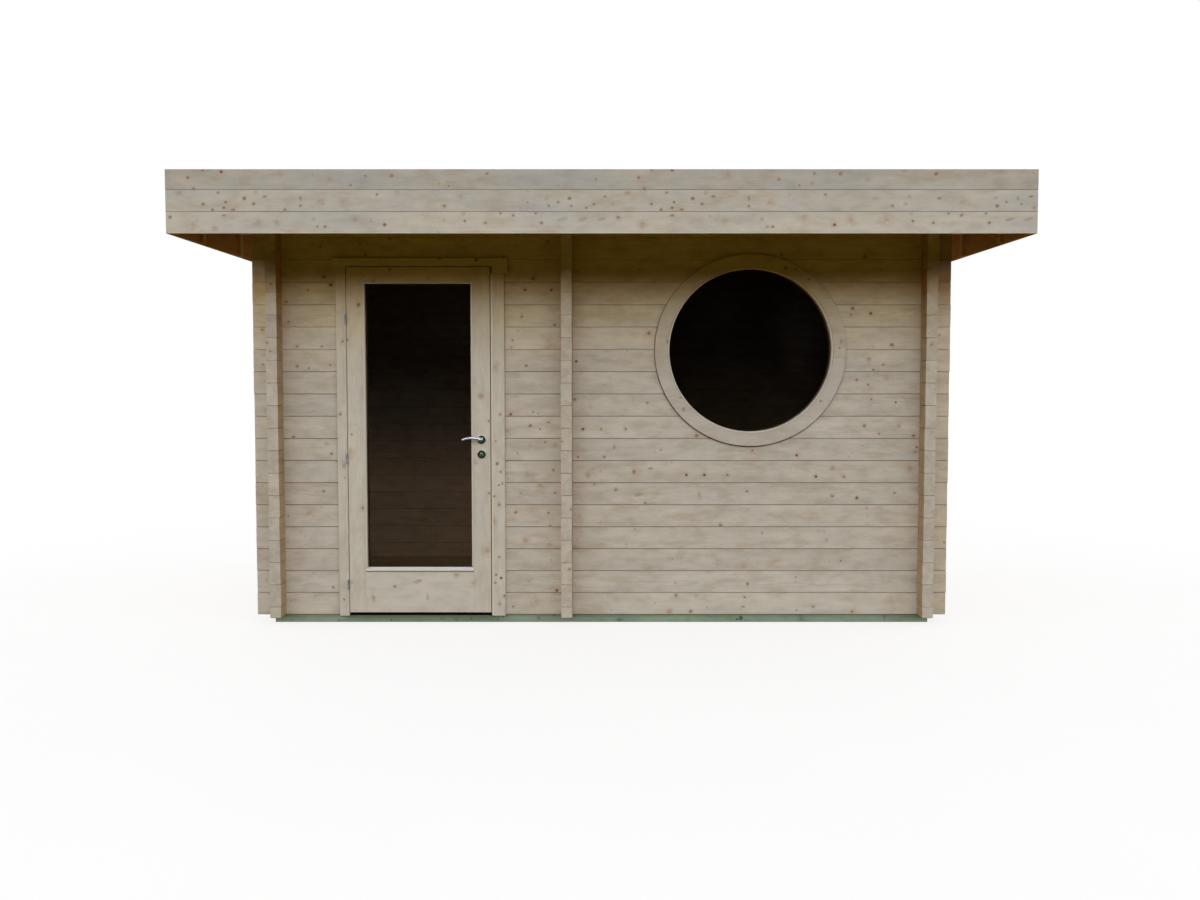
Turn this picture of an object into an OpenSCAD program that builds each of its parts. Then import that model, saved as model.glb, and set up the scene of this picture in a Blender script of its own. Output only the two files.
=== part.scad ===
// Log sauna cabin: two rooms under one flat roof, a glazed entrance door and
// a large round window in the front wall. Millimetres, +Z up, the front faces -Y.
// The origin is at ground level, under the middle of the roof.

/* [Walls] */
// Width over the outer wall faces
wall_w = 4000; // [3950:10:4060]
// Depth over the outer wall faces
wall_d = 2300; // [2200:10:2400]
// Thickness of a log
log_t = 66; // [66:70]
// Cover height of a log
log_h = 135; // [134:0.5:136]
// Length of the crossed log ends of the front and rear walls
log_out = 110; // [80:5:130]
// Length of the crossed log ends of the side walls and the partition
side_out = 118; // [100:1:140]
// Edge chamfer that makes the V joint between logs
log_c = 3; // [2:0.5:5]
// Middle of the partition wall, left of the cabin's middle
part_x = -210; // [-260:10:-160]

/* [Base and floor] */
// Height of the treated foundation beams
beam_h = 47; // [45:1:60]
// Thickness of the floor boards
floor_t = 28; // [22:1:32]

/* [Roof] */
// Width of the roof over its side fascias
roof_w = 4672; // [4600:2:4740]
// Overhang of the roof in front of the front wall
over_front = 800; // [700:10:900]
// Overhang of the roof behind the rear wall
over_rear = 300; // [250:10:400]
// Thickness of a fascia board
fascia_t = 21; // [18:1:22]
// Lower edge of the fascia, above the log base
fascia_z = 2221.5; // [2200:0.5:2240]
// Height of the two lower fascia boards
fascia_h = 116.5; // [112:0.5:120]
// Height of the top fascia board
fascia_top_h = 108; // [100:1:116]
// Height of the rafters
rafter_h = 120; // [95:1:125]
// Width of a rafter
rafter_w = 45; // [40:1:50]
// Number of rafters from side wall to side wall
rafters = 7; // [6:1:8]

/* [Entrance door] */
// Left (hinge) edge of the leaf, from the cabin's middle
leaf_x0 = -1537; // [-1550:1:-1530]
// Width of the leaf
leaf_w = 863; // [850:1:870]
// Gap under the leaf, above the log base
leaf_z0 = 17; // [10:1:20]
// Top of the leaf, above the log base
leaf_z1 = 2113; // [2100:1:2114]
// Thickness of the leaf
leaf_t = 56; // [50:1:60]
// Width of the hinge stile
stile_l = 98; // [90:1:105]
// Width of the lock stile
stile_r = 103; // [98:1:110]
// Height of the lever handle, above the log base
handle_z = 1075; // [1040:1:1090]
// Distance from the lever down to the lock cylinder
lock_drop = 89; // [86:1:92]

/* [Round window] */
// Middle of the window, from the cabin's middle
win_x = 900; // [850:10:950]
// Middle of the window, above the log base
win_z = 1613; // [1610:1:1613]
// Visible radius of the glass
glass_r = 490; // [480:1:492]
// Outer radius of the flat ring around it
ring_r = 578; // [570:1:590]

/* [Hidden] */
$fn = 96;

t = log_t;
h = log_h;
zb = beam_h;                            // log base
wf = -(over_front + wall_d + over_rear)/2 + over_front;   // front wall, outer face
wr = wf + wall_d;                       // rear wall, outer face
hw = wall_w/2;
full = 17;                              // full courses in every wall
wall_top = (full + 0.5)*h;              // above the log base
px0 = part_x - t/2;
px1 = part_x + t/2;
rf = wf - over_front;                   // front of the roof
rr = wr + over_rear;                    // rear of the roof
rw = roof_w/2;
leaf_x1 = leaf_x0 + leaf_w;
leaf_y0 = wf - 22;                      // face of the leaf
leaf_y1 = leaf_y0 + leaf_t;
case_t = 18;                            // casing thickness
post_l = leaf_x0 - 5;                   // inner face of the hinge post
post_r = leaf_x1 + 7;                   // inner face of the lock post
stop_w = 20;                            // the rebate that the leaf shuts against
post_w = 35;
gap = 0.6;                              // between like pieces in one node
cut_r = 534;                            // round cut in the logs
liner_r = 530;
hinge_x = leaf_x0 - 5;
hinge_y = wf - 31;
hinge_zs = [190, 959, 1801];
barrel_r = 6;
barrel_h = 62;
lever_x = leaf_x1 - 53;
win_n0 = floor((win_z - liner_r)/h);    // first course that the window cuts
inner_x = leaf_x0 + stile_l;            // glazed opening in the leaf
inner_x1 = leaf_x1 - stile_r;
inner_z0 = 270;
inner_z1 = 2026;
sill_h = 24;                            // height of the sill bead at the glass
bead_w = 12;
inner_bead = 20;                        // width of the beads behind the glass
glass_y = leaf_y0 + 24;
part_door_y0 = wf + 560;
part_door_y1 = wf + 1290;
part_door_n = 15;                       // courses cut by the partition doorway
batten_t = 20;
outrigger_ys = [rf + fascia_t + batten_t, rf + 493, rf + 1224, rf + 1955, rf + 2686,
                rr - fascia_t - batten_t - rafter_w];
rafter_xs = [for (i = [0 : rafters - 1]) -hw + i*(wall_w - rafter_w)/(rafters - 1)];

// ---------- logs ----------
function log_profile(hh) = [[log_c, 0], [t - log_c, 0], [t, log_c], [t, hh - log_c],
  [t - log_c, hh], [log_c, hh], [0, hh - log_c], [0, log_c]];

// A log along X, its outer face at y0
module log_x(x0, x1, y0, z0, z1)
  translate([x0, y0, zb + z0]) rotate([90, 0, 90])
    linear_extrude(x1 - x0) polygon(log_profile(z1 - z0));

// A log along Y, its left face at x0
module log_y(y0, y1, x0, z0, z1)
  translate([x0, y1, zb + z0]) rotate([90, 0, 0])
    linear_extrude(y1 - y0) polygon(log_profile(z1 - z0));

// Crossing notches, a quarter of a log deep, over and under
module notch_x(xc, y0, z0, z1, over)
{
  translate([xc, y0 - 1, zb + z0 - 1]) cube([t, t + 2, h/4 + 1]);
  if (over) translate([xc, y0 - 1, zb + z1 - h/4]) cube([t, t + 2, h/4 + 1]);
}
module notch_y(yc, x0, z0, z1, under)
{
  translate([x0 - 1, yc, zb + z1 - h/4]) cube([t + 2, t, h/4 + 1]);
  if (under) translate([x0 - 1, yc, zb + z0 - 1]) cube([t + 2, t, h/4 + 1]);
}
// Places where side logs and the partition cross a front or rear log
crossings = [-hw, px0, hw - t];

module front_course(n)
{
  z0 = n*h;
  z1 = n < full ? z0 + h : z0 + h/2;
  difference() {
    union() {
      if (n < 16) {
        log_x(-hw - log_out, post_l - post_w - 2, wf, z0, z1);
        log_x(post_r + post_w + 2, hw + log_out, wf, z0, z1);
      } else log_x(-hw - log_out, hw + log_out, wf, z0, z1);
    }
    for (xc = crossings) notch_x(xc, wf, z0, z1, n < full);
    if (n >= win_n0 && n < 16)
      translate([win_x, wf - 1, zb + win_z]) rotate([-90, 0, 0]) cylinder(r = cut_r, h = t + 2);
  }
}
module rear_course(n)
{
  z0 = n*h;
  z1 = n < full ? z0 + h : z0 + h/2;
  difference() {
    log_x(-hw - log_out, hw + log_out, wr - t, z0, z1);
    for (xc = crossings) notch_x(xc, wr - t, z0, z1, n < full);
  }
}
// Side course n: 0 is the half log at the bottom
module side_course(n, x0, open)
{
  z0 = n == 0 ? 0 : (n - 0.5)*h;
  z1 = (n + 0.5)*h;
  difference() {
    union() {
      if (open && n < part_door_n) {
        log_y(wf - side_out, part_door_y0, x0, z0, z1);
        log_y(part_door_y1, wr + side_out, x0, z0, z1);
      } else log_y(wf - side_out, wr + side_out, x0, z0, z1);
    }
    for (yc = [wf, wr - t]) notch_y(yc, x0, z0, z1, n > 0);
  }
}

module front_logs(s) color([0.80, 0.74, 0.63]) for (n = [s : 2 : full]) front_course(n);
module rear_logs(s) color([0.78, 0.72, 0.61]) for (n = [s : 2 : full]) rear_course(n);
module left_logs(s) color([0.76, 0.70, 0.59]) for (n = [s : 2 : full]) side_course(n, -hw, false);
module right_logs(s) color([0.76, 0.70, 0.59]) for (n = [s : 2 : full]) side_course(n, hw - t, false);
module partition_logs(s) color([0.79, 0.73, 0.62]) for (n = [s : 2 : full]) side_course(n, px0, true);

// ---------- base ----------
module foundation_beams() color([0.42, 0.46, 0.38]) {
  for (y = [wf, wr - t]) translate([-hw, y, 0]) cube([wall_w, t, beam_h]);
  for (x = crossings) translate([x, wf + t + gap, 0]) cube([t, wall_d - 2*t - 2*gap, beam_h]);
}
module floor_joists() color([0.72, 0.64, 0.50]) {
  for (i = [1:3])
    translate([-hw + t + i*(px0 + hw - t)/4 - 22, wf + t + 1, 0]) cube([45, wall_d - 2*t - 2, beam_h]);
  for (i = [1:4])
    translate([px1 + i*(hw - t - px1)/5 - 22, wf + t + 1, 0]) cube([45, wall_d - 2*t - 2, beam_h]);
}
module left_room_floor() color([0.74, 0.66, 0.52]) union() {
  translate([-hw + t + 2, wf + t + 2, zb]) cube([px0 + hw - t - 4, wall_d - 2*t - 4, floor_t]);
  translate([px0 - 3, part_door_y0 + 2, zb]) cube([t + 3, part_door_y1 - part_door_y0 - 4, floor_t]);
}
module right_room_floor() color([0.74, 0.66, 0.52])
  translate([px1 + 2, wf + t + 2, zb]) cube([hw - t - px1 - 4, wall_d - 2*t - 4, floor_t]);

// ---------- entrance frame ----------
head_z = leaf_z1 + 5;                   // underside of the frame head
module door_frame_posts() color([0.78, 0.71, 0.60]) {
  union() {
    translate([post_l - post_w, wf, zb]) cube([post_w, t, head_z]);
    translate([post_l - 1, leaf_y1 + 5, zb]) cube([stop_w + 1, wf + t - leaf_y1 - 5, head_z - stop_w]);
  }
  difference() {
    union() {
      translate([post_r, wf, zb]) cube([post_w, t, head_z]);
      translate([post_r - stop_w, leaf_y1 + 5, zb]) cube([stop_w + 1, wf + t - leaf_y1 - 5, head_z - stop_w]);
    }
    translate([post_r - 1, leaf_y0 + 24, zb + handle_z - lock_drop/2 - 90]) cube([3.2, 26, 180]);
  }
}
module door_frame_head() color([0.78, 0.71, 0.60]) union() {
  translate([post_l - post_w, wf, zb + head_z]) cube([post_r - post_l + 2*post_w, t, 40]);
  translate([post_l, leaf_y1 + 5, zb + head_z - stop_w]) cube([post_r - post_l, wf + t - leaf_y1 - 5, stop_w + 1]);
}
module door_threshold() color([0.66, 0.58, 0.46])
  translate([post_l + stop_w, leaf_y1 + 5, zb]) cube([post_r - post_l - 2*stop_w, wf + t - leaf_y1 - 5 , 40]);
casing_in = 60;                         // width of the hinge side casing
casing_out = 73;                        // width of the lock side casing
casing_drop = 5;                        // the casings reach this far below the log base
ear_z = 2078;                           // the head casing's ends reach down to here
ear_out = 21;                           // the head casing's overhang at each end
module door_side_casings() color([0.79, 0.73, 0.62]) {
  translate([post_l - casing_in, wf - case_t, zb - casing_drop]) cube([casing_in, case_t, ear_z + casing_drop - gap]);
  translate([post_r + 7, wf - case_t, zb - casing_drop]) cube([casing_out, case_t, ear_z + casing_drop - gap]);
}
module door_head_casing() color([0.79, 0.73, 0.62]) difference() {
  translate([post_l - casing_in - ear_out, wf - case_t, zb + ear_z])
    cube([post_r + 7 + casing_out - post_l + casing_in + 2*ear_out, case_t, leaf_z1 + 56 - ear_z]);
  translate([post_l, wf - case_t - 1, zb + ear_z - 1])
    cube([post_r + 7 - post_l, case_t + 2, head_z - ear_z + 1]);
}
module door_inner_casings() color([0.78, 0.71, 0.60]) {
  translate([post_l + 10 - 80, wf + t, zb + floor_t + 2]) cube([80, 16, head_z - floor_t]);
  translate([post_r - 10, wf + t, zb + floor_t + 2]) cube([80, 16, head_z - floor_t]);
  translate([post_l - 70, wf + t, zb + head_z + 2 + gap]) cube([post_r - post_l + 140, 16, 70]);
}
module strike_plate() color([0.70, 0.70, 0.71])
  translate([post_r, leaf_y0 + 24.5, zb + handle_z - lock_drop/2 - 89.5]) cube([2, 25, 179]);
// Lower half of each hinge, with its pin
module door_hinges_frame() color([0.66, 0.67, 0.68]) for (z = hinge_zs) translate([hinge_x, hinge_y, zb + z]) {
  translate([0, 0, -barrel_h/2]) cylinder(r = barrel_r, h = barrel_h/2 - 0.5);
  translate([0, 0, -1]) cylinder(r = 3, h = barrel_h/2 - 4);
  translate([-barrel_r - 3, 2, -barrel_h/2 + 2]) cube([8, wf - case_t - hinge_y - 2, barrel_h/2 - 5]);
}

// ---------- round window ----------
module at_window(y) translate([win_x, wf + y, zb + win_z]) rotate([-90, 0, 0]) children();
module ring(ro, ri, th) difference() {
  cylinder(r = ro, h = th);
  translate([0, 0, -1]) cylinder(r = ri, h = th + 2);
}
module round_window_liner() color([0.76, 0.70, 0.58]) at_window(0) ring(liner_r, glass_r + 10.6, t);
module round_window_outer_ring() color([0.80, 0.74, 0.64]) at_window(-20) ring(ring_r, glass_r + 10.6, 20);
module round_window_inner_ring() color([0.80, 0.74, 0.64]) at_window(t) ring(ring_r, glass_r, 20);
module round_window_bead() color([0.76, 0.70, 0.58]) {
  at_window(-18.5) ring(glass_r + 10, glass_r, 40.5);
  at_window(28.5) ring(glass_r + 10, glass_r, t - 28.5);
}
module round_window_glass() color([0.20, 0.20, 0.18, 0.5]) at_window(22.25) cylinder(r = glass_r + 9.5, h = 6);

// ---------- roof ----------
module rafter_set() color([0.70, 0.61, 0.46])
  for (x = rafter_xs) translate([x, rf + fascia_t + batten_t, zb + wall_top])
    cube([rafter_w, rr - rf - 2*fascia_t - 2*batten_t, rafter_h]);
// Short outriggers that carry the side overhangs
module side_outriggers() color([0.70, 0.61, 0.46])
  for (y = outrigger_ys) for (x = [-rw + fascia_t + batten_t, hw])
    translate([x, y, zb + wall_top]) cube([rw - fascia_t - batten_t - hw, rafter_w, rafter_h]);
// Blocks that close the gaps between the rafters over the front and rear walls
module eaves_blocking() color([0.70, 0.61, 0.46])
  for (y = [wf, wr - rafter_w]) for (i = [0 : rafters - 2])
    translate([rafter_xs[i] + rafter_w + gap, y, zb + wall_top])
      cube([rafter_xs[i + 1] - rafter_xs[i] - rafter_w - 2*gap, rafter_w, rafter_h]);
deck_z = wall_top + rafter_h;
module roof_deck() color([0.72, 0.63, 0.48])
  translate([-rw + fascia_t + 1, rf + fascia_t + 1, zb + deck_z])
    cube([roof_w - 2*fascia_t - 2, rr - rf - 2*fascia_t - 2, 19]);
module roof_membrane() color([0.16, 0.16, 0.17])
  translate([-rw + fascia_t + 1, rf + fascia_t + 1, zb + deck_z + 19])
    cube([roof_w - 2*fascia_t - 2, rr - rf - 2*fascia_t - 2, 4]);
fz = [[0, fascia_h - 0.5], [fascia_h + 0.5, 2*fascia_h - 0.5], [2*fascia_h + 0.5, 2*fascia_h + fascia_top_h]];
module boards_x(y) for (b = fz) translate([-rw, y, zb + fascia_z + b[0]]) cube([roof_w, fascia_t, b[1] - b[0]]);
module boards_y(x) for (b = fz) translate([x, rf + fascia_t, zb + fascia_z + b[0]])
  cube([fascia_t, rr - rf - 2*fascia_t, b[1] - b[0]]);
module front_fascia() color([0.68, 0.65, 0.60]) boards_x(rf);
module rear_fascia() color([0.68, 0.65, 0.60]) boards_x(rr - fascia_t);
module left_fascia() color([0.66, 0.63, 0.58]) boards_y(-rw);
module right_fascia() color([0.66, 0.63, 0.58]) boards_y(rw - fascia_t);
module fascia_battens() color([0.60, 0.50, 0.36]) {
  bh = deck_z - fascia_z - 4;
  for (y = outrigger_ys) for (x = [-rw + fascia_t, rw - fascia_t - batten_t])
    translate([x, y, zb + fascia_z + 2]) cube([batten_t, rafter_w, bh]);
  for (x = rafter_xs) for (y = [rf + fascia_t, rr - fascia_t - batten_t])
    translate([x, y, zb + fascia_z + 2]) cube([rafter_w, batten_t, bh]);
}

// ---------- door leaf ----------
module door_stiles() color([0.80, 0.74, 0.64]) {
  translate([leaf_x0, leaf_y0, zb + leaf_z0]) cube([stile_l, leaf_t, leaf_z1 - leaf_z0]);
  difference() {
    translate([leaf_x1 - stile_r, leaf_y0, zb + leaf_z0]) cube([stile_r, leaf_t, leaf_z1 - leaf_z0]);
    for (z = [handle_z, handle_z - lock_drop]) translate([lever_x, leaf_y0 - 1, zb + z])
      rotate([-90, 0, 0]) cylinder(r = 10, h = leaf_t + 2);
  }
}
module door_rails() color([0.81, 0.75, 0.65]) {
  translate([inner_x, leaf_y0, zb + leaf_z0]) cube([inner_x1 - inner_x, leaf_t, inner_z0 - leaf_z0]);
  translate([inner_x, leaf_y0, zb + inner_z1]) cube([inner_x1 - inner_x, leaf_t, leaf_z1 - inner_z1]);
}
module door_glass() color([0.22, 0.20, 0.17, 0.5])
  translate([inner_x + 1, glass_y, zb + inner_z0 + 1]) cube([inner_x1 - inner_x - 2, 6, inner_z1 - inner_z0 - 2]);
module door_glass_beads() color([0.82, 0.76, 0.66]) {
  d0 = glass_y - leaf_y0 - 0.2;
  // outer side beads and top bead, then the sloped sill bead
  for (x = [inner_x, inner_x1 - bead_w]) translate([x, leaf_y0 - 3, zb + inner_z0 + sill_h + 1 + gap]) cube([bead_w, d0 + 3, inner_z1 - inner_z0 - sill_h - 1 - gap]);
  translate([inner_x + bead_w + gap, leaf_y0 - 3, zb + inner_z1 - bead_w]) cube([inner_x1 - inner_x - 2*bead_w - 2*gap, d0 + 3, bead_w]);
  translate([inner_x, leaf_y0, zb + inner_z0]) rotate([90, 0, 90]) linear_extrude(inner_x1 - inner_x)
    polygon([[-10, 2], [0, 2], [0, 0], [d0, 0], [d0, sill_h], [-10, 10]]);
  // inner beads
  for (x = [inner_x, inner_x1 - inner_bead]) translate([x, glass_y + 6.2, zb + inner_z0])
    cube([inner_bead, leaf_y1 - glass_y - 6.2, inner_z1 - inner_z0]);
  for (z = [inner_z0, inner_z1 - inner_bead]) translate([inner_x + inner_bead + gap, glass_y + 6.2, zb + z])
    cube([inner_x1 - inner_x - 2*inner_bead - 2*gap, leaf_y1 - glass_y - 6.2, inner_bead]);
}
// Upper half of each hinge, bored for the pin
module door_hinges_leaf() color([0.66, 0.67, 0.68]) for (z = hinge_zs) translate([hinge_x, hinge_y, zb + z]) difference() {
  union() {
    translate([0, 0, 0.5]) cylinder(r = barrel_r, h = barrel_h/2 - 0.5);
    translate([1, 2, 3]) cube([barrel_r + 3, leaf_y0 - hinge_y - 2, barrel_h/2 - 5]);
  }
  translate([0, 0, 0]) cylinder(r = 3.1, h = barrel_h/2 - 4);
}
module door_rosettes() color([0.72, 0.73, 0.74]) {
  for (z = [handle_z, handle_z - lock_drop]) {
    r_in = z == handle_z ? 10 : 9;
    translate([lever_x, leaf_y0 - 8, zb + z]) rotate([-90, 0, 0]) difference() {
      cylinder(r = 26, h = 8);
      translate([0, 0, -1]) cylinder(r = r_in, h = 10);
    }
    translate([lever_x, leaf_y1, zb + z]) rotate([-90, 0, 0]) difference() {
      cylinder(r = 26, h = 8);
      translate([0, 0, -1]) cylinder(r = r_in, h = 10);
    }
  }
}
module lock_cylinders() color([0.62, 0.62, 0.60])
  translate([lever_x, leaf_y0 - 11, zb + handle_z - lock_drop]) rotate([-90, 0, 0]) cylinder(r = 8.6, h = leaf_t + 22);

// ---------- levers ----------
lever_bend = 150;                       // radius of the lever's shallow arch
module door_levers() color([0.78, 0.79, 0.80]) {
  reach = 50;
  translate([lever_x, 0, zb + handle_z]) {
    translate([0, leaf_y0 - reach, 0]) rotate([-90, 0, 0]) cylinder(r = 8, h = leaf_t + 2*reach);
    for (y = [leaf_y0 - reach + 4, leaf_y1 + reach - 4]) translate([0, y, 0]) {
      translate([-lever_bend*sin(22), 0, -lever_bend*cos(22)])
        rotate([90, 0, 0]) rotate([0, 0, 68]) rotate_extrude(angle = 46) translate([lever_bend, 0]) circle(r = 8);
    }
  }
}

foundation_beams();
floor_joists();
left_room_floor();
right_room_floor();
front_logs(0);  // front_wall_logs_even
front_logs(1);  // front_wall_logs_odd
rear_logs(0);  // rear_wall_logs_even
rear_logs(1);  // rear_wall_logs_odd
left_logs(0);  // left_wall_logs_even
left_logs(1);  // left_wall_logs_odd
right_logs(0);  // right_wall_logs_even
right_logs(1);  // right_wall_logs_odd
partition_logs(0);  // partition_logs_even
partition_logs(1);  // partition_logs_odd
door_frame_posts();
door_frame_head();
door_threshold();
door_side_casings();
door_head_casing();
door_inner_casings();
strike_plate();
door_hinges_frame();
round_window_liner();
round_window_outer_ring();
round_window_inner_ring();
round_window_bead();
round_window_glass();
rafter_set();  // rafters
side_outriggers();
eaves_blocking();
roof_deck();
roof_membrane();
front_fascia();
rear_fascia();
left_fascia();
right_fascia();
fascia_battens();
door_stiles();
door_rails();
door_glass();
door_glass_beads();
door_hinges_leaf();
door_rosettes();
lock_cylinders();
door_levers();
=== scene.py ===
import math
import random

import bmesh
import bpy
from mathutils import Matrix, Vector, noise as mnoise


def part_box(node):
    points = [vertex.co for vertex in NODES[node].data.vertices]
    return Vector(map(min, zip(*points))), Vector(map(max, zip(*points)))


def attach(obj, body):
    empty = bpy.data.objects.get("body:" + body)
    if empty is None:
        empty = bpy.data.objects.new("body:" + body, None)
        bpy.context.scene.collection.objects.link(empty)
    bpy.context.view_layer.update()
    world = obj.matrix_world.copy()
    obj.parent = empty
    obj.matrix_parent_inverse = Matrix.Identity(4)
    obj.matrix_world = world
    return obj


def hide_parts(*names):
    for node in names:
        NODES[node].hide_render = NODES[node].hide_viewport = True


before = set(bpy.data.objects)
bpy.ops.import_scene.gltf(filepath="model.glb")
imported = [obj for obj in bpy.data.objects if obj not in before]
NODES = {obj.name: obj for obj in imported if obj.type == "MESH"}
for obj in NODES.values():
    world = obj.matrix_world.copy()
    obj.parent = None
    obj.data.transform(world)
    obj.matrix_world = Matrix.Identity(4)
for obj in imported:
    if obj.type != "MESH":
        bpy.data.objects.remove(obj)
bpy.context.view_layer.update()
UP = Vector((0, 0, 1))


# ------------------------------------------------------------------ node trees
class Tree:
    """Short ways to write a node tree. A value is a socket or a constant."""

    def __init__(self, nt):
        self.nt = nt
        nt.nodes.clear()

    def node(self, kind, **props):
        n = self.nt.nodes.new(kind)
        for k, v in props.items():
            setattr(n, k, v)
        return n

    def put(self, socket, v):
        if v is None:
            return
        if isinstance(v, bpy.types.NodeSocket):
            self.nt.links.new(v, socket)
        elif isinstance(v, (tuple, list)) and len(v) == 3 and socket.type == "RGBA":
            socket.default_value = (*v, 1.0)
        else:
            socket.default_value = v

    def math(self, op, a, b=None, c=None, clamp=False):
        n = self.node("ShaderNodeMath", operation=op, use_clamp=clamp)
        for i, v in enumerate((a, b, c)):
            if v is not None:
                self.put(n.inputs[i], v)
        return n.outputs[0]

    def vec(self, op, a, b=None):
        n = self.node("ShaderNodeVectorMath", operation=op)
        self.put(n.inputs[0], a)
        if b is not None:
            self.put(n.inputs[1], b)
        return n.outputs["Value"] if op in ("LENGTH", "DOT_PRODUCT") else n.outputs["Vector"]

    def split(self, v):
        n = self.node("ShaderNodeSeparateXYZ")
        self.put(n.inputs[0], v)
        return n.outputs[0], n.outputs[1], n.outputs[2]

    def join(self, x, y, z):
        n = self.node("ShaderNodeCombineXYZ")
        for i, v in enumerate((x, y, z)):
            self.put(n.inputs[i], v)
        return n.outputs[0]

    def attr(self, name):
        return self.node("ShaderNodeAttribute", attribute_name=name).outputs["Vector"]

    def noise(self, v, scale=1.0, detail=2.0, rough=0.5, distortion=0.0):
        n = self.node("ShaderNodeTexNoise")
        self.put(n.inputs["Vector"], v)
        n.inputs["Scale"].default_value = scale
        n.inputs["Detail"].default_value = detail
        n.inputs["Roughness"].default_value = rough
        n.inputs["Distortion"].default_value = distortion
        return n.outputs[0]

    def ease(self, v, a, b, c=0.0, d=1.0):
        """Smooth step of v from a to b, onto c to d."""
        n = self.node("ShaderNodeMapRange", interpolation_type="SMOOTHSTEP")
        self.put(n.inputs["Value"], v)
        self.put(n.inputs["From Min"], a)
        self.put(n.inputs["From Max"], b)
        self.put(n.inputs["To Min"], c)
        self.put(n.inputs["To Max"], d)
        return n.outputs[0]

    def mix(self, fac, a, b, mode="MIX"):
        n = self.node("ShaderNodeMix", data_type="RGBA", blend_type=mode)
        self.put(n.inputs[0], fac)
        self.put(n.inputs[6], a)
        self.put(n.inputs[7], b)
        return n.outputs[2]

    def ramp(self, fac, stops):
        n = self.node("ShaderNodeValToRGB")
        e = n.color_ramp.elements
        while len(e) < len(stops):
            e.new(0.5)
        for el, (p, c) in zip(e, stops):
            el.position = p
        for el, (p, c) in zip(e, stops):
            el.color = (*c, 1.0)
        self.put(n.inputs[0], fac)
        return n.outputs[0]

    def bump(self, height, strength, distance):
        n = self.node("ShaderNodeBump")
        n.inputs["Strength"].default_value = strength
        n.inputs["Distance"].default_value = distance
        self.put(n.inputs["Height"], height)
        return n.outputs[0]


def material(name):
    m = bpy.data.materials.new(name)
    m.use_nodes = True
    return m, Tree(m.node_tree)


def principled(t, **values):
    p = t.node("ShaderNodeBsdfPrincipled")
    for k, v in values.items():
        t.put(p.inputs[k.replace("_", " ")], v)
    out = t.node("ShaderNodeOutputMaterial")
    t.nt.links.new(p.outputs[0], out.inputs[0])
    return p


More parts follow.
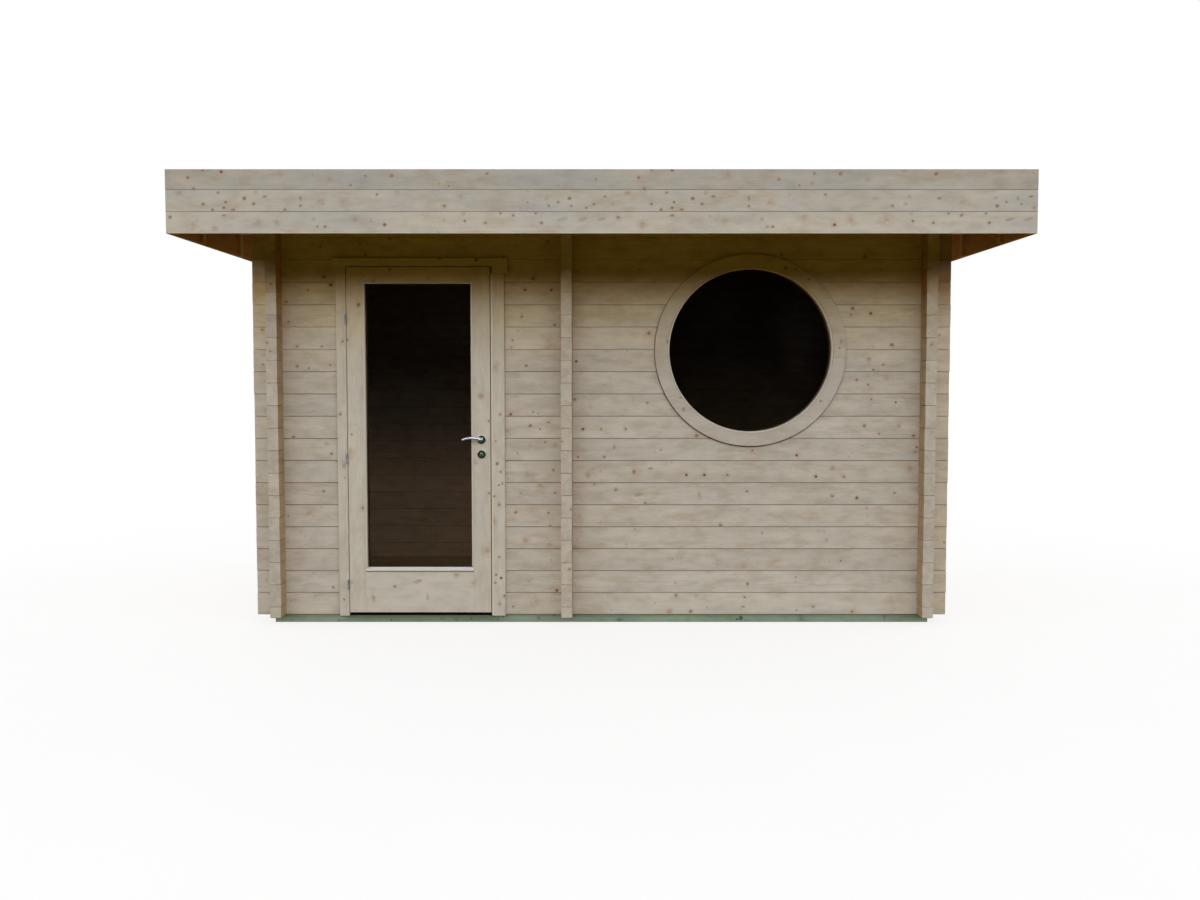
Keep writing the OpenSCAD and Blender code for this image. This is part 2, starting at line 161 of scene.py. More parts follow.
# ------------------------------------------------------------------ materials
def wood(name, early, late, ring=0.0034, ring_amount=0.24, mottle=0.20, tone=0.05, pink=0.6,
         rough=0.62, end=(0.86, 0.80, 0.72), knot=(0.235, 0.084, 0.026), halo=(0.55, 0.335, 0.175),
         knots=1.0, warm=0.0, warm_to=(1.0, 0.88, 0.60), warm_from=(1.48, 2.05), grey=0.0, streak=None, inside_shade=0.0,
         corners=(), spec=0.28, beam_shade=0.0, under=None):
    """Sawn or planed softwood. The mesh says where the grain runs: wd is the place in the log it was cut from
    (along, then two across from the pith), kn and kp the knot beside it, and bd the board's own tone, which below zero
    marks grime and painted shade at the edges."""
    m, t = material(name)
    wd = t.attr("wd")
    along, ra, rb = t.split(wd)
    kx, ky, kr = t.split(t.attr("kn"))
    kh, kd, ks = t.split(t.attr("kp"))
    tone1, tone2, is_end = t.split(t.attr("bd"))

    # the knot, with an uneven edge
    wobble = t.noise(t.vec("ADD", wd, t.join(ks, 0.0, 0.0)), 55.0, 2.0)
    dist = t.math("SQRT", t.math("ADD", t.math("MULTIPLY", kx, kx), t.math("MULTIPLY", ky, ky)))
    dist = t.math("MULTIPLY", dist, t.math("ADD", 0.78, t.math("MULTIPLY", wobble, 0.44)))
    q = t.math("DIVIDE", dist, kr)
    core = t.ease(q, 0.70, 1.12, 1.0, 0.0)
    rim = t.math("MULTIPLY", t.ease(q, 0.55, 0.95), t.ease(q, 0.95, 1.45, 1.0, 0.0))
    around = t.ease(t.math("DIVIDE", dist, kh), 0.12, 1.0, 1.0, 0.0)
    cloud = t.noise(t.vec("MULTIPLY", t.vec("ADD", wd, (4.9, 8.1, 3.7)), (8.5, 19.0, 19.0)), 1.0, 3.0, 0.55)
    ragged = t.ease(t.noise(t.vec("MULTIPLY", t.vec("ADD", wd, t.join(ks, 1.0, ks)), (24.0, 42.0, 42.0)), 1.0, 2.0), 0.36, 0.66)

    # growth rings round the pith, bent by the knots
    bend = t.noise(t.vec("MULTIPLY", wd, (0.9, 5.0, 5.0)), 1.0, 2.0)
    fine_bend = t.noise(t.vec("MULTIPLY", wd, (5.0, 60.0, 60.0)), 1.0, 1.0)
    radius = t.math("SQRT", t.math("ADD", t.math("MULTIPLY", ra, ra), t.math("MULTIPLY", rb, rb)))
    radius = t.math("ADD", radius, t.math("MULTIPLY", t.math("SUBTRACT", bend, 0.5), 0.055))
    radius = t.math("ADD", radius, t.math("MULTIPLY", t.math("SUBTRACT", fine_bend, 0.5), 0.0022))
    radius = t.math("ADD", radius, t.math("MULTIPLY", around, 0.009))
    phase = t.math("FRACT", t.math("DIVIDE", radius, ring))
    late_wood = t.math("MULTIPLY", t.ease(phase, 0.30, 0.88), t.ease(phase, 0.90, 1.0, 1.0, 0.0))
    ring_vary = t.ease(t.noise(t.vec("MULTIPLY", wd, (0.8, 30.0, 30.0)), 1.0, 2.0), 0.30, 0.72, 0.35, 1.25)
    late_wood = t.math("MULTIPLY", late_wood, ring_vary)

    # soft blotches and streaks along the grain
    big = t.noise(t.vec("MULTIPLY", wd, (2.4, 16.0, 16.0)), 1.0, 3.0, 0.55)
    mid = t.noise(t.vec("MULTIPLY", t.vec("ADD", wd, (3.1, 1.7, 0.4)), (7.0, 46.0, 46.0)), 1.0, 2.0)
    patch = t.noise(t.vec("MULTIPLY", t.vec("ADD", wd, (7.7, 0.9, 2.3)), (4.5, 12.0, 12.0)), 1.0, 3.0, 0.6)
    fibre = t.noise(t.vec("MULTIPLY", wd, (26.0, 900.0, 900.0)), 1.0, 2.0)

    colour = t.mix(t.math("MULTIPLY", late_wood, ring_amount, clamp=True), early, late)
    warm_patch = t.ease(patch, 0.54, 0.74)
    colour = t.mix(t.math("MULTIPLY", warm_patch, 0.55 * pink), colour, (early[0] * 0.84, early[1] * 0.71, early[2] * 0.58))
    colour = t.mix(t.math("MULTIPLY", t.ease(cloud, 0.50, 0.36), 0.38 * pink), colour,
                   (early[0] * 0.90, early[1] * 0.79, early[2] * 0.66))
    pale = t.ease(t.noise(t.vec("MULTIPLY", t.vec("ADD", wd, (1.2, 4.4, 6.3)), (3.0, 26.0, 26.0)), 1.0, 2.0), 0.60, 0.80)
    colour = t.mix(t.math("MULTIPLY", pale, 0.35), colour, (min(1, early[0] * 1.12), min(1, early[1] * 1.13), min(1, early[2] * 1.15)))
    light = t.math("ADD", 1.0, t.math("MULTIPLY", t.math("SUBTRACT", big, 0.5), 2 * mottle))
    light = t.math("ADD", light, t.math("MULTIPLY", t.math("SUBTRACT", mid, 0.5), 0.6 * mottle))
    light = t.math("ADD", light, t.math("MULTIPLY", t.math("SUBTRACT", cloud, 0.5), 1.9 * mottle))
    light = t.math("ADD", light, t.math("MULTIPLY", t.math("SUBTRACT", fibre, 0.5), 0.09))
    light = t.math("ADD", light, t.math("MULTIPLY", t.math("SUBTRACT", t.math("MAXIMUM", tone1, 0.0), 0.5), 2 * tone))
    colour = t.mix(1.0, colour, t.join(light, light, light), "MULTIPLY")
    colour = t.mix(t.math("MULTIPLY", tone2, 0.22), colour, t.mix(1.0, colour, (1.03, 0.93, 0.82), "MULTIPLY"))

    # end grain: darker, with fine checks out from the pith
    angle = t.math("ARCTAN2", rb, ra)
    check = t.noise(t.join(t.math("MULTIPLY", angle, 34.0), t.math("MULTIPLY", radius, 6.0), tone1), 1.0, 1.0)
    checks = t.math("MULTIPLY", t.ease(check, 0.70, 0.76), is_end)
    colour = t.mix(is_end, colour, t.mix(1.0, colour, end, "MULTIPLY"))
    colour = t.mix(t.math("MULTIPLY", checks, 0.45), colour, (early[0] * 0.25, early[1] * 0.20, early[2] * 0.15))

    # knots and the resin-brown wood round them
    if knots:
        soft = t.math("MULTIPLY", t.math("POWER", around, 1.5), t.math("ADD", 0.17, t.math("MULTIPLY", ragged, 0.56)))
        colour = t.mix(t.math("MULTIPLY", soft, knots, clamp=True), colour, halo)
        colour = t.mix(t.math("MULTIPLY", core, t.math("MULTIPLY", kd, knots), clamp=True), colour,
                       (knot[0] * 1.25, knot[1] * 1.25, knot[2] * 1.2))
        colour = t.mix(t.math("MULTIPLY", rim, t.math("MULTIPLY", t.math("MULTIPLY", kd, kd), 0.85 * knots), clamp=True), colour,
                       (knot[0] * 0.62, knot[1] * 0.50, knot[2] * 0.42))

    # grime on the sloping edge faces, where the tone is below zero, heavier on the downward ones as painted shade
    # beneath the edges, and less towards the top
    joint_dirt_and_shade = t.math("MAXIMUM", t.math("MULTIPLY", tone1, -1.0), 0.0)
    joint_dirt_and_shade = t.math("MULTIPLY", joint_dirt_and_shade, t.ease(mid, 0.25, 0.7, 0.75, 1.1), clamp=True)
    place = t.node("ShaderNodeTexCoord").outputs["Object"]
    px, py, pz = t.split(place)
    joint_dirt_and_shade = t.math("MULTIPLY", joint_dirt_and_shade, t.ease(pz, 1.25, 1.95, 1.0, 0.15))
    colour = t.mix(joint_dirt_and_shade, colour, (0.20, 0.092, 0.022))
    if corners:
        # painted shade in the inner corners where the front wall meets the crossed logs and the door casing, stronger
        # higher up
        near = None
        for at, side, top in corners:
            d = t.ease(t.math("MULTIPLY", t.math("SUBTRACT", px, at), float(side)), 0.0, 0.009, 1.0, 0.0)
            d = t.math("MULTIPLY", d, t.math("LESS_THAN", pz, top))
            if top < 3:
                d = t.math("MULTIPLY", d, t.math("LESS_THAN", py, -0.5))
            d = t.math("MULTIPLY", d, t.math("GREATER_THAN", t.math("MULTIPLY", t.math("SUBTRACT", px, at), float(side)), -0.002))
            near = d if near is None else t.math("MAXIMUM", near, d)
        uneven = t.ease(t.noise(t.join(t.math("MULTIPLY", px, 14.0), 0.0, t.math("MULTIPLY", pz, 9.0)), 1.0, 3.0, 0.6), 0.28, 0.72, 0.35, 1.0)
        uneven = t.math("MULTIPLY", uneven, t.ease(pz, 0.5, 1.7, 0.22, 0.60))
        colour = t.mix(t.math("MULTIPLY", near, uneven), colour, (0.36, 0.195, 0.085))
    if warm:
        # towards the top, beneath the roof, the wood turns yellower and darker: the sheltered wood's own tone, and
        # painted shade of the roof
        up = t.ease(t.math("ADD", pz, t.math("MULTIPLY", t.math("SUBTRACT", big, 0.5), 0.25)), *warm_from)
        colour = t.mix(t.math("MULTIPLY", up, warm), colour, t.mix(1.0, colour, warm_to, "MULTIPLY"))
        # a browner band where the roof's shadow ends, at 1.93 to 2.19 m: painted shade
        line = t.math("MULTIPLY", t.ease(pz, 1.93, 2.04), t.ease(pz, 2.10, 2.19, 1.0, 0.0))
        colour = t.mix(line, colour, t.mix(1.0, colour, (0.98, 0.88, 0.72), "MULTIPLY"))
    if under:
        # painted shade: the outer corners darker and browner right under the soffit
        high = t.math("MULTIPLY", t.ease(pz, 1.97, 2.13), t.ease(pz, 2.16, 2.30, 1.0, 0.2))
        high = t.math("MULTIPLY", high, t.math("GREATER_THAN", t.math("ABSOLUTE", px), 1.5))
        colour = t.mix(high, colour, t.mix(1.0, colour, under, "MULTIPLY"))
    if beam_shade:
        # painted shade: the beams darker towards their top, beneath the logs, and darker again below the door, most at
        # the top
        high = t.ease(t.math("ADD", pz, t.math("MULTIPLY", t.math("SUBTRACT", mid, 0.5), 0.02)), 0.022, 0.046)
        colour = t.mix(t.math("MULTIPLY", high, beam_shade), colour, t.mix(1.0, colour, (0.42, 0.45, 0.38), "MULTIPLY"))
        sill = t.math("MULTIPLY", t.ease(px, -1.60, -1.53), t.ease(px, -0.67, -0.60, 1.0, 0.0))
        sill = t.math("MULTIPLY", t.math("MULTIPLY", sill, t.math("LESS_THAN", py, -0.8)), t.ease(pz, 0.004, 0.034, 0.55, 1.0))
        colour = t.mix(sill, colour, t.mix(1.0, colour, (0.60, 0.62, 0.56), "MULTIPLY"))
    if inside_shade:
        # painted shade: inside, the wood is darker towards the top
        up = t.ease(t.math("ADD", pz, t.math("MULTIPLY", t.math("SUBTRACT", big, 0.5), 0.3)), 0.50, 1.25)
        colour = t.mix(t.math("MULTIPLY", up, inside_shade), colour, (0.02, 0.010, 0.005))
    if grey:
        worn = t.ease(t.noise(t.vec("MULTIPLY", wd, (1.7, 9.0, 9.0)), 1.0, 3.0), 0.35, 0.7)
        mean = sum(early) / 3 * 0.86
        colour = t.mix(t.math("MULTIPLY", worn, grey), colour, (mean * 1.04, mean, mean * 0.94))
    if streak:
        dark = t.ease(t.noise(t.vec("MULTIPLY", t.vec("ADD", wd, (9.0, 2.0, 5.0)), (6.0, 14.0, 14.0)), 1.0, 3.0), 0.50, 0.78)
        colour = t.mix(t.math("MULTIPLY", dark, 0.6), colour, streak)

    height = t.math("ADD", t.math("MULTIPLY", late_wood, 0.35), t.math("MULTIPLY", fibre, 0.55))
    height = t.math("SUBTRACT", height, t.math("MULTIPLY", checks, 1.8))
    height = t.math("ADD", height, t.math("MULTIPLY", core, t.math("MULTIPLY", kd, 0.5)))
    roughness = t.math("ADD", rough, t.math("MULTIPLY", t.math("SUBTRACT", mid, 0.5), 0.22))
    roughness = t.math("SUBTRACT", roughness, t.math("MULTIPLY", core, t.math("MULTIPLY", kd, 0.16)))
    roughness = t.math("ADD", roughness, t.math("MULTIPLY", joint_dirt_and_shade, 0.25), clamp=True)
    principled(t, Base_Color=colour, Roughness=roughness, Specular_IOR_Level=spec, Normal=t.bump(height, 0.55, 0.00045))
    return m


def steel(name, base, rough, scratch=0.06, along=(900.0, 30.0, 900.0), metallic=1.0):
    m, t = material(name)
    place = t.node("ShaderNodeTexCoord").outputs["Object"]
    fine = t.noise(t.vec("MULTIPLY", place, along), 1.0, 3.0)
    film = t.noise(place, 38.0, 3.0, 0.6)
    level = t.math("ADD", 0.93, t.math("MULTIPLY", film, 0.14))
    colour = t.mix(1.0, base, t.join(level, level, level), "MULTIPLY")
    r = t.math("ADD", rough, t.math("MULTIPLY", t.math("SUBTRACT", film, 0.45), 0.10))
    r = t.math("ADD", r, t.math("MULTIPLY", t.math("SUBTRACT", fine, 0.5), scratch), clamp=True)
    principled(t, Base_Color=colour, Metallic=metallic, Roughness=r, Normal=t.bump(fine, 0.12, 0.00008))
    return m


def glass(name, through):
    """A pane that lets light through, with a little dust and a sheen at its surface."""
    m, t = material(name)
    place = t.node("ShaderNodeTexCoord").outputs["Object"]
    film = t.noise(t.vec("MULTIPLY", place, (3.0, 3.0, 1.6)), 1.0, 3.0, 0.6)
    specks = t.ease(t.noise(place, 240.0, 1.0), 0.74, 0.80)
    clear = t.node("ShaderNodeBsdfTransparent")
    clear.inputs[0].default_value = (*through, 1)
    shine = t.node("ShaderNodeBsdfGlossy")
    shine.inputs["Color"].default_value = (1, 1, 1, 1)
    t.put(shine.inputs["Roughness"], t.ease(film, 0.3, 0.8, 0.004, 0.03))
    dust = t.node("ShaderNodeBsdfDiffuse")
    dust.inputs[0].default_value = (0.42, 0.36, 0.28, 1)
    fres = t.node("ShaderNodeFresnel")
    fres.inputs["IOR"].default_value = 1.5
    a = t.node("ShaderNodeMixShader")
    t.put(a.inputs[0], t.math("ADD", t.ease(film, 0.45, 0.85, 0.002, 0.012), t.math("MULTIPLY", specks, 0.05)))
    t.nt.links.new(clear.outputs[0], a.inputs[1])
    t.nt.links.new(dust.outputs[0], a.inputs[2])
    b = t.node("ShaderNodeMixShader")
    t.nt.links.new(fres.outputs[0], b.inputs[0])
    t.nt.links.new(a.outputs[0], b.inputs[1])
    t.nt.links.new(shine.outputs[0], b.inputs[2])
    out = t.node("ShaderNodeOutputMaterial")
    t.nt.links.new(b.outputs[0], out.inputs[0])
    return m


def felt(name):
    """Mineral roofing felt: fine slate grit on bitumen, with drying marks."""
    m, t = material(name)
    place = t.node("ShaderNodeTexCoord").outputs["Object"]
    grit = t.noise(place, 900.0, 2.0)
    chips = t.node("ShaderNodeTexVoronoi", feature="F1")
    chips.inputs["Scale"].default_value = 420.0
    t.put(chips.inputs["Vector"], place)
    stain = t.noise(place, 2.1, 4.0, 0.6)
    colour = t.ramp(grit, [(0.30, (0.025, 0.022, 0.018)), (0.52, (0.062, 0.055, 0.045)), (0.72, (0.135, 0.121, 0.100))])
    colour = t.mix(t.ease(stain, 0.45, 0.72, 0.0, 0.35), colour, (0.11, 0.105, 0.095))
    height = t.math("ADD", grit, t.math("MULTIPLY", chips.outputs["Distance"], -0.8))
    principled(t, Base_Color=colour, Roughness=t.ease(grit, 0.3, 0.7, 0.82, 0.96), Specular_IOR_Level=0.3,
               Normal=t.bump(height, 0.6, 0.0008))
    return m


SPRUCE = (0.655, 0.550, 0.398)
SPRUCE_LATE = (0.47, 0.325, 0.185)
M = {
    "log": wood("spruce_logs", SPRUCE, SPRUCE_LATE, warm=0.85, grey=0.06, pink=0.95,
                corners=((-0.177, 1, 3.0), (-0.243, -1, 3.0), (-1.934, 1, 3.0), (1.934, -1, 3.0), (-0.587, 1, 2.12),
                         (-1.602, -1, 2.12))),
    # the crossed logs, darker and browner right under the soffit at the outer corners as painted shade
    "side_log": wood("spruce_side_logs", (0.65, 0.542, 0.388), SPRUCE_LATE, warm=0.5, warm_to=(0.97, 0.87, 0.68), grey=0.08,
                     tone=0.05,
                     end=(0.95, 0.935, 0.92), under=(0.72, 0.62, 0.44)),
    # the front logs' right ends: much darker towards the top and under the soffit, painted shade of the roof
    "log_corner": wood("spruce_log_corners", (0.67, 0.54, 0.36), SPRUCE_LATE, warm=0.9, warm_to=(0.72, 0.60, 0.44),
                       warm_from=(1.72, 2.06), grey=0.05, under=(0.78, 0.68, 0.48)),
    # faces in the recesses of the crossed logs: a darker, browner copy of the log wood, painted shade
    "recess": wood("spruce_in_the_recess", (0.490, 0.338, 0.182), (0.345, 0.215, 0.105), warm=0.85, warm_to=(1.0, 0.80, 0.55),
                   tone=0.04),
    # the inside faces: darker towards the top as painted shade
    "inside": wood("spruce_inside", SPRUCE, SPRUCE_LATE, warm=0.0, inside_shade=0.55),
    "fascia": wood("fascia_boards", (0.615, 0.515, 0.365), (0.465, 0.34, 0.21), ring_amount=0.2, mottle=0.18, tone=0.12,
                   pink=0.9, grey=0.30),
    # lighter wood on the edges in the door gaps: unweathered edges, and painted light against the gaps' shade
    "fresh_lit": wood("fresh_lit_edges", (0.86, 0.735, 0.53), (0.72, 0.53, 0.32), mottle=0.05, tone=0.02, pink=0.2, knots=0.0, spec=0.08),
    "casing": wood("casing_boards", (0.695, 0.585, 0.425), SPRUCE_LATE, mottle=0.14, tone=0.03, warm=0.8, pink=0.5),
    "frame": wood("door_frame_timber", (0.69, 0.58, 0.42), SPRUCE_LATE, mottle=0.08, tone=0.03, warm=0.6, pink=0.3),
    "leaf": wood("door_leaf_timber", (0.685, 0.58, 0.42), (0.54, 0.40, 0.25), ring=0.0026, ring_amount=0.2,
                 mottle=0.14, tone=0.03, warm=0.8, pink=0.5),
    "bead": wood("glazing_bead_timber", (0.70, 0.60, 0.445), (0.55, 0.42, 0.27), ring=0.0024, ring_amount=0.18,
                 mottle=0.05, tone=0.03, warm=0.3, pink=0.2, rough=0.42),
    # the sill's sloped top: a lighter, glossier wood, a painted highlight of the sky
    "sill": wood("sill_top_highlight", (0.83, 0.765, 0.66), (0.74, 0.63, 0.49), ring_amount=0.12, mottle=0.05, tone=0.02, pink=0.2,
                 rough=0.32, knots=0.0, spec=0.42),
    # the beads behind the glass and the strip beneath the sill's nose: near-black brown, painted shade
    "dark_bead": wood("inner_bead_shade", (0.115, 0.060, 0.026), (0.07, 0.036, 0.014), rough=0.75, spec=0.10),
    "ring": wood("window_ring_timber", (0.60, 0.50, 0.365), SPRUCE_LATE, ring_amount=0.2, mottle=0.12, tone=0.03,
                 warm=0.8, pink=0.8),
    # strips round the head casing and the window ring: dark brown, painted shadow lines
    "seal": wood("dark_shadow_lines", (0.105, 0.062, 0.024), (0.07, 0.04, 0.016), rough=0.9, knots=0.0, spec=0.05),
    # the black strips in the gap beneath the door leaf: painted shade
    "bitumen": wood("black_strip_painted_shade", (0.010, 0.010, 0.010), (0.006, 0.006, 0.006), rough=0.9, knots=0.0, spec=0.03),
    "joist": wood("roof_timber", (0.56, 0.40, 0.23), (0.38, 0.235, 0.115), rough=0.75, end=(0.8, 0.7, 0.6)),
    "roof_board": wood("roof_boards", (0.58, 0.42, 0.25), (0.40, 0.25, 0.13), rough=0.7),
    "eaves": wood("eaves_boards", (0.52, 0.27, 0.075), (0.36, 0.17, 0.045), rough=0.72, pink=0.2, spec=0.12),
    "batten": wood("batten_timber", (0.66, 0.42, 0.17), (0.46, 0.27, 0.10), rough=0.72, pink=0.2, spec=0.12),
    "floor": wood("floor_boards", (0.62, 0.47, 0.29), (0.44, 0.285, 0.15), rough=0.55),
    # the treated beams: their darker ends, their darker top and the dark patch below the door are painted shade
    "green": wood("treated_beams", (0.33, 0.385, 0.235), (0.22, 0.27, 0.16), ring_amount=0.5, mottle=0.25, tone=0.08,
                  pink=0.0, rough=0.72, knot=(0.04, 0.055, 0.03), halo=(0.13, 0.165, 0.09), end=(0.42, 0.44, 0.42),
                  streak=(0.15, 0.195, 0.10), beam_shade=0.6),
    "steel": steel("polished_steel", (0.80, 0.81, 0.83), 0.07, 0.02),
    "lever": steel("satin_steel", (0.86, 0.87, 0.89), 0.22, 0.03),
    "hinge": steel("zinc_steel", (0.385, 0.385, 0.392), 0.38, 0.08),
    # the keyway: a black block standing for the slot's shade
    "dark": steel("keyway_slot_shade", (0.012, 0.012, 0.012), 0.85, 0.05, metallic=0.0),
    # the cylinder's green base colour is a painted reflection of a lawn
    "cylinder": steel("cylinder_steel", (0.62, 0.88, 0.46), 0.24, 0.02),
    "glass": glass("door_pane", (0.91, 0.83, 0.79)),
    "dark_glass": glass("bronze_pane", (0.72, 0.61, 0.52)),
    "felt": felt("roofing_felt"),
}


# ------------------------------------------------------------------ meshes
FAR = ((1.0, 1.0, 0.004), (0.02, 0.0, 0.0))


class Piece:
    """Gathers faces with their wood coordinates, then becomes one object."""

    def __init__(self, name):
        self.name, self.v, self.f = name, [], []
        self.wd, self.kn, self.kp, self.bd, self.smooth, self.mat = [], [], [], [], [], []

    def add(self, bm, wd, bd, knots=None, mat=0):
        """bm's faces. wd gives the wood coordinates of a point, bd a face's tone, knots a face's knot."""
        base = len(self.v)
        bm.verts.index_update()
        self.v += [tuple(v.co) for v in bm.verts]
        for f in bm.faces:
            self.f.append([base + v.index for v in f.verts])
            self.smooth.append(f.smooth)
            self.mat.append(f.material_index + mat)
            k = knots.get(f) if knots else None
            tone = bd(f)
            for lp in f.loops:
                co = lp.vert.co
                self.wd.append(wd(co))
                self.bd.append(tone)
                if k is None:
                    self.kn.append(FAR[0])
                    self.kp.append(FAR[1])
                else:
                    self.kn.append(k[0](co))
                    self.kp.append(k[1])

    def make(self, mats, body, nodes=(), slot=None):
        me = bpy.data.meshes.new(self.name)
        me.from_pydata(self.v, [], self.f)
        for name, rows in (("wd", self.wd), ("kn", self.kn), ("kp", self.kp), ("bd", self.bd)):
            a = me.attributes.new(name, "FLOAT_VECTOR", "CORNER")
            a.data.foreach_set("vector", [x for r in rows for x in r])
        me.polygons.foreach_set("use_smooth", self.smooth)
        me.polygons.foreach_set("material_index", self.mat)
        for m in (mats if isinstance(mats, (list, tuple)) else [mats]):
            me.materials.append(M[m])
        me.update()
        o = bpy.data.objects.new(self.name, me)
        bpy.context.scene.collection.objects.link(o)
        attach(o, body)
        if nodes:
            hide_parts(*([nodes] if isinstance(nodes, str) else nodes))
        return o


def solids(node):
    """The solids of a CAD node, each as its own bmesh with whole flat faces."""
    bm = bmesh.new()
    bm.from_mesh(NODES[node].data)
    bmesh.ops.remove_doubles(bm, verts=bm.verts[:], dist=2e-5)
    bmesh.ops.dissolve_limit(bm, angle_limit=math.radians(0.6), verts=bm.verts[:], edges=bm.edges[:])
    bm.faces.ensure_lookup_table()
    left, groups = set(bm.faces), []
    while left:
        stack, group = [left.pop()], []
        while stack:
            f = stack.pop()
            group.append(f)
            for e in f.edges:
                for g in e.link_faces:
                    if g in left:
                        left.remove(g)
                        stack.append(g)
        groups.append(group)
    made = []
    for group in groups:
        new, at = bmesh.new(), {}
        for f in group:
            for v in f.verts:
                if v not in at:
                    at[v] = new.verts.new(v.co)
        for f in group:
            new.faces.new([at[v] for v in f.verts])
        new.normal_update()
        made.append(new)
    bm.free()
    made.sort(key=lambda b: [round(x, 3) for x in box_of(b)[0]])
    return made


def box_of(bm):
    lo, hi = Vector((1e9,) * 3), Vector((-1e9,) * 3)
    for v in bm.verts:
        for i in range(3):
            lo[i] = min(lo[i], v.co[i])
            hi[i] = max(hi[i], v.co[i])
    return lo, hi


def block(lo, hi):
    """A plain board as a bmesh, to be rounded."""
    bm = bmesh.new()
    v = [bm.verts.new((x, y, z)) for x in (lo[0], hi[0]) for y in (lo[1], hi[1]) for z in (lo[2], hi[2])]
    for q in ((0, 1, 3, 2), (4, 6, 7, 5), (0, 4, 5, 1), (2, 3, 7, 6), (0, 2, 6, 4), (1, 5, 7, 3)):
        bm.faces.new([v[i] for i in q])
    bm.normal_update()
    return bm


def rounded(bm, r, segments=2, angle=25):
    """Eases the sharp edges by r."""
    for f in bm.faces:
        f.smooth = False
    edges = [e for e in bm.edges if len(e.link_faces) == 2 and e.calc_face_angle(0) > math.radians(angle)]
    if edges and r > 0:
        made = bmesh.ops.bevel(bm, geom=edges, offset=r, offset_type="OFFSET", segments=segments, profile=0.5,
                               affect="EDGES", clamp_overlap=True)
        for f in made["faces"]:
            if f.calc_area() < 4 * r * 3 and min(e.calc_length() for e in f.edges) < 2.2 * r:
                f.smooth = True
    bm.normal_update()
    return bm


def cut_cells(bm, faces, spots, u, v, reach, found, edge=(9, 9)):
    """Cuts flat faces so that each part holds one knot, and notes in found which. spots are (u, v, ...)."""
    faces = [f for f in faces if f.is_valid]
    if not faces:
        return
    if len(spots) <= 1:
        if spots:
            for f in faces:
                found[f] = (spots[0], reach)
        return
    best = None
    for axis in (0, 1):
        s = sorted(spots, key=lambda k: k[axis])
        for a, b in zip(s, s[1:]):
            gap = (b[axis] - a[axis]) * (1.0 if axis == 0 else 1.4)
            if best is None or gap > best[0]:
                best = (gap, axis, (a[axis] + b[axis]) / 2)
    gap, axis, at = best
    if gap < 0.004:
        return cut_cells(bm, faces, spots[:1], u, v, reach, found)
    co, no = Vector((0, 0, 0)), Vector((0, 0, 0))
    co[(u, v)[axis]], no[(u, v)[axis]] = at, 1.0
    geom = list({x for f in faces for x in (f, *f.edges, *f.verts)})
    cut = bmesh.ops.bisect_plane(bm, geom=geom, dist=1e-6, plane_co=co, plane_no=no)
    parts = [g for g in cut["geom"] if isinstance(g, bmesh.types.BMFace)]
    low = [f for f in parts if f.calc_center_median()[(u, v)[axis]] < at]
    high = [f for f in parts if f.calc_center_median()[(u, v)[axis]] >= at]
    for part, side in ((low, [k for k in spots if k[axis] < at]), (high, [k for k in spots if k[axis] >= at])):
        near = {**reach}
        for k in side:
            near[k] = min(near[k], abs(k[axis] - at))
        cut_cells(bm, part, side, u, v, near, found)


def random_knots(rng, lo_u, hi_u, lo_v, hi_v, per_metre, size):
    """Whorls of knots along a face: (u, v, radius, darkness, stretch, turn)."""
    spots, x = [], lo_u + rng.uniform(0.02, 0.35)
    while x < hi_u - 0.01:
        for _ in range(rng.choice((1, 1, 2, 2, 3))):
            r = size * rng.choice((0.4, 0.5, 0.6, 0.7, 0.85, 1.15)) * rng.uniform(0.85, 1.1)
            dark = rng.choice((0.10, 0.15, 0.2, 0.3, 0.45, 0.6, 0.8))
            spots.append((x + rng.uniform(-0.06, 0.06), rng.uniform(lo_v + 0.006, hi_v - 0.004), r, dark,
                          rng.choice((1.0, 1.0, 1.0, 1.3, 0.75, 0.5)), rng.uniform(-0.5, 0.5)))
        x += rng.uniform(0.55, 1.45) / per_metre
    return [s for s in spots if lo_u + 0.004 < s[0] < hi_u - 0.004]


def ease_ends(bm, grain, depth):
    """Sawn log ends: their upper and lower edges are worn back, so the joints show on the ends too."""
    edges = []
    for e in bm.edges:
        a, b = e.verts
        if abs(a.co.z - b.co.z) < 1e-5 and abs(a.co[grain] - b.co[grain]) < 1e-5 and len(e.link_faces) == 2:
            if any(abs(f.normal[grain]) > 0.99 for f in e.link_faces) and any(abs(f.normal.z) > 0.99 for f in e.link_faces):
                edges.append(e)
    if edges:
        bmesh.ops.bevel(bm, geom=edges, offset=depth, offset_type="OFFSET", segments=1, profile=0.5, affect="EDGES",
                        clamp_overlap=True)
        bm.normal_update()


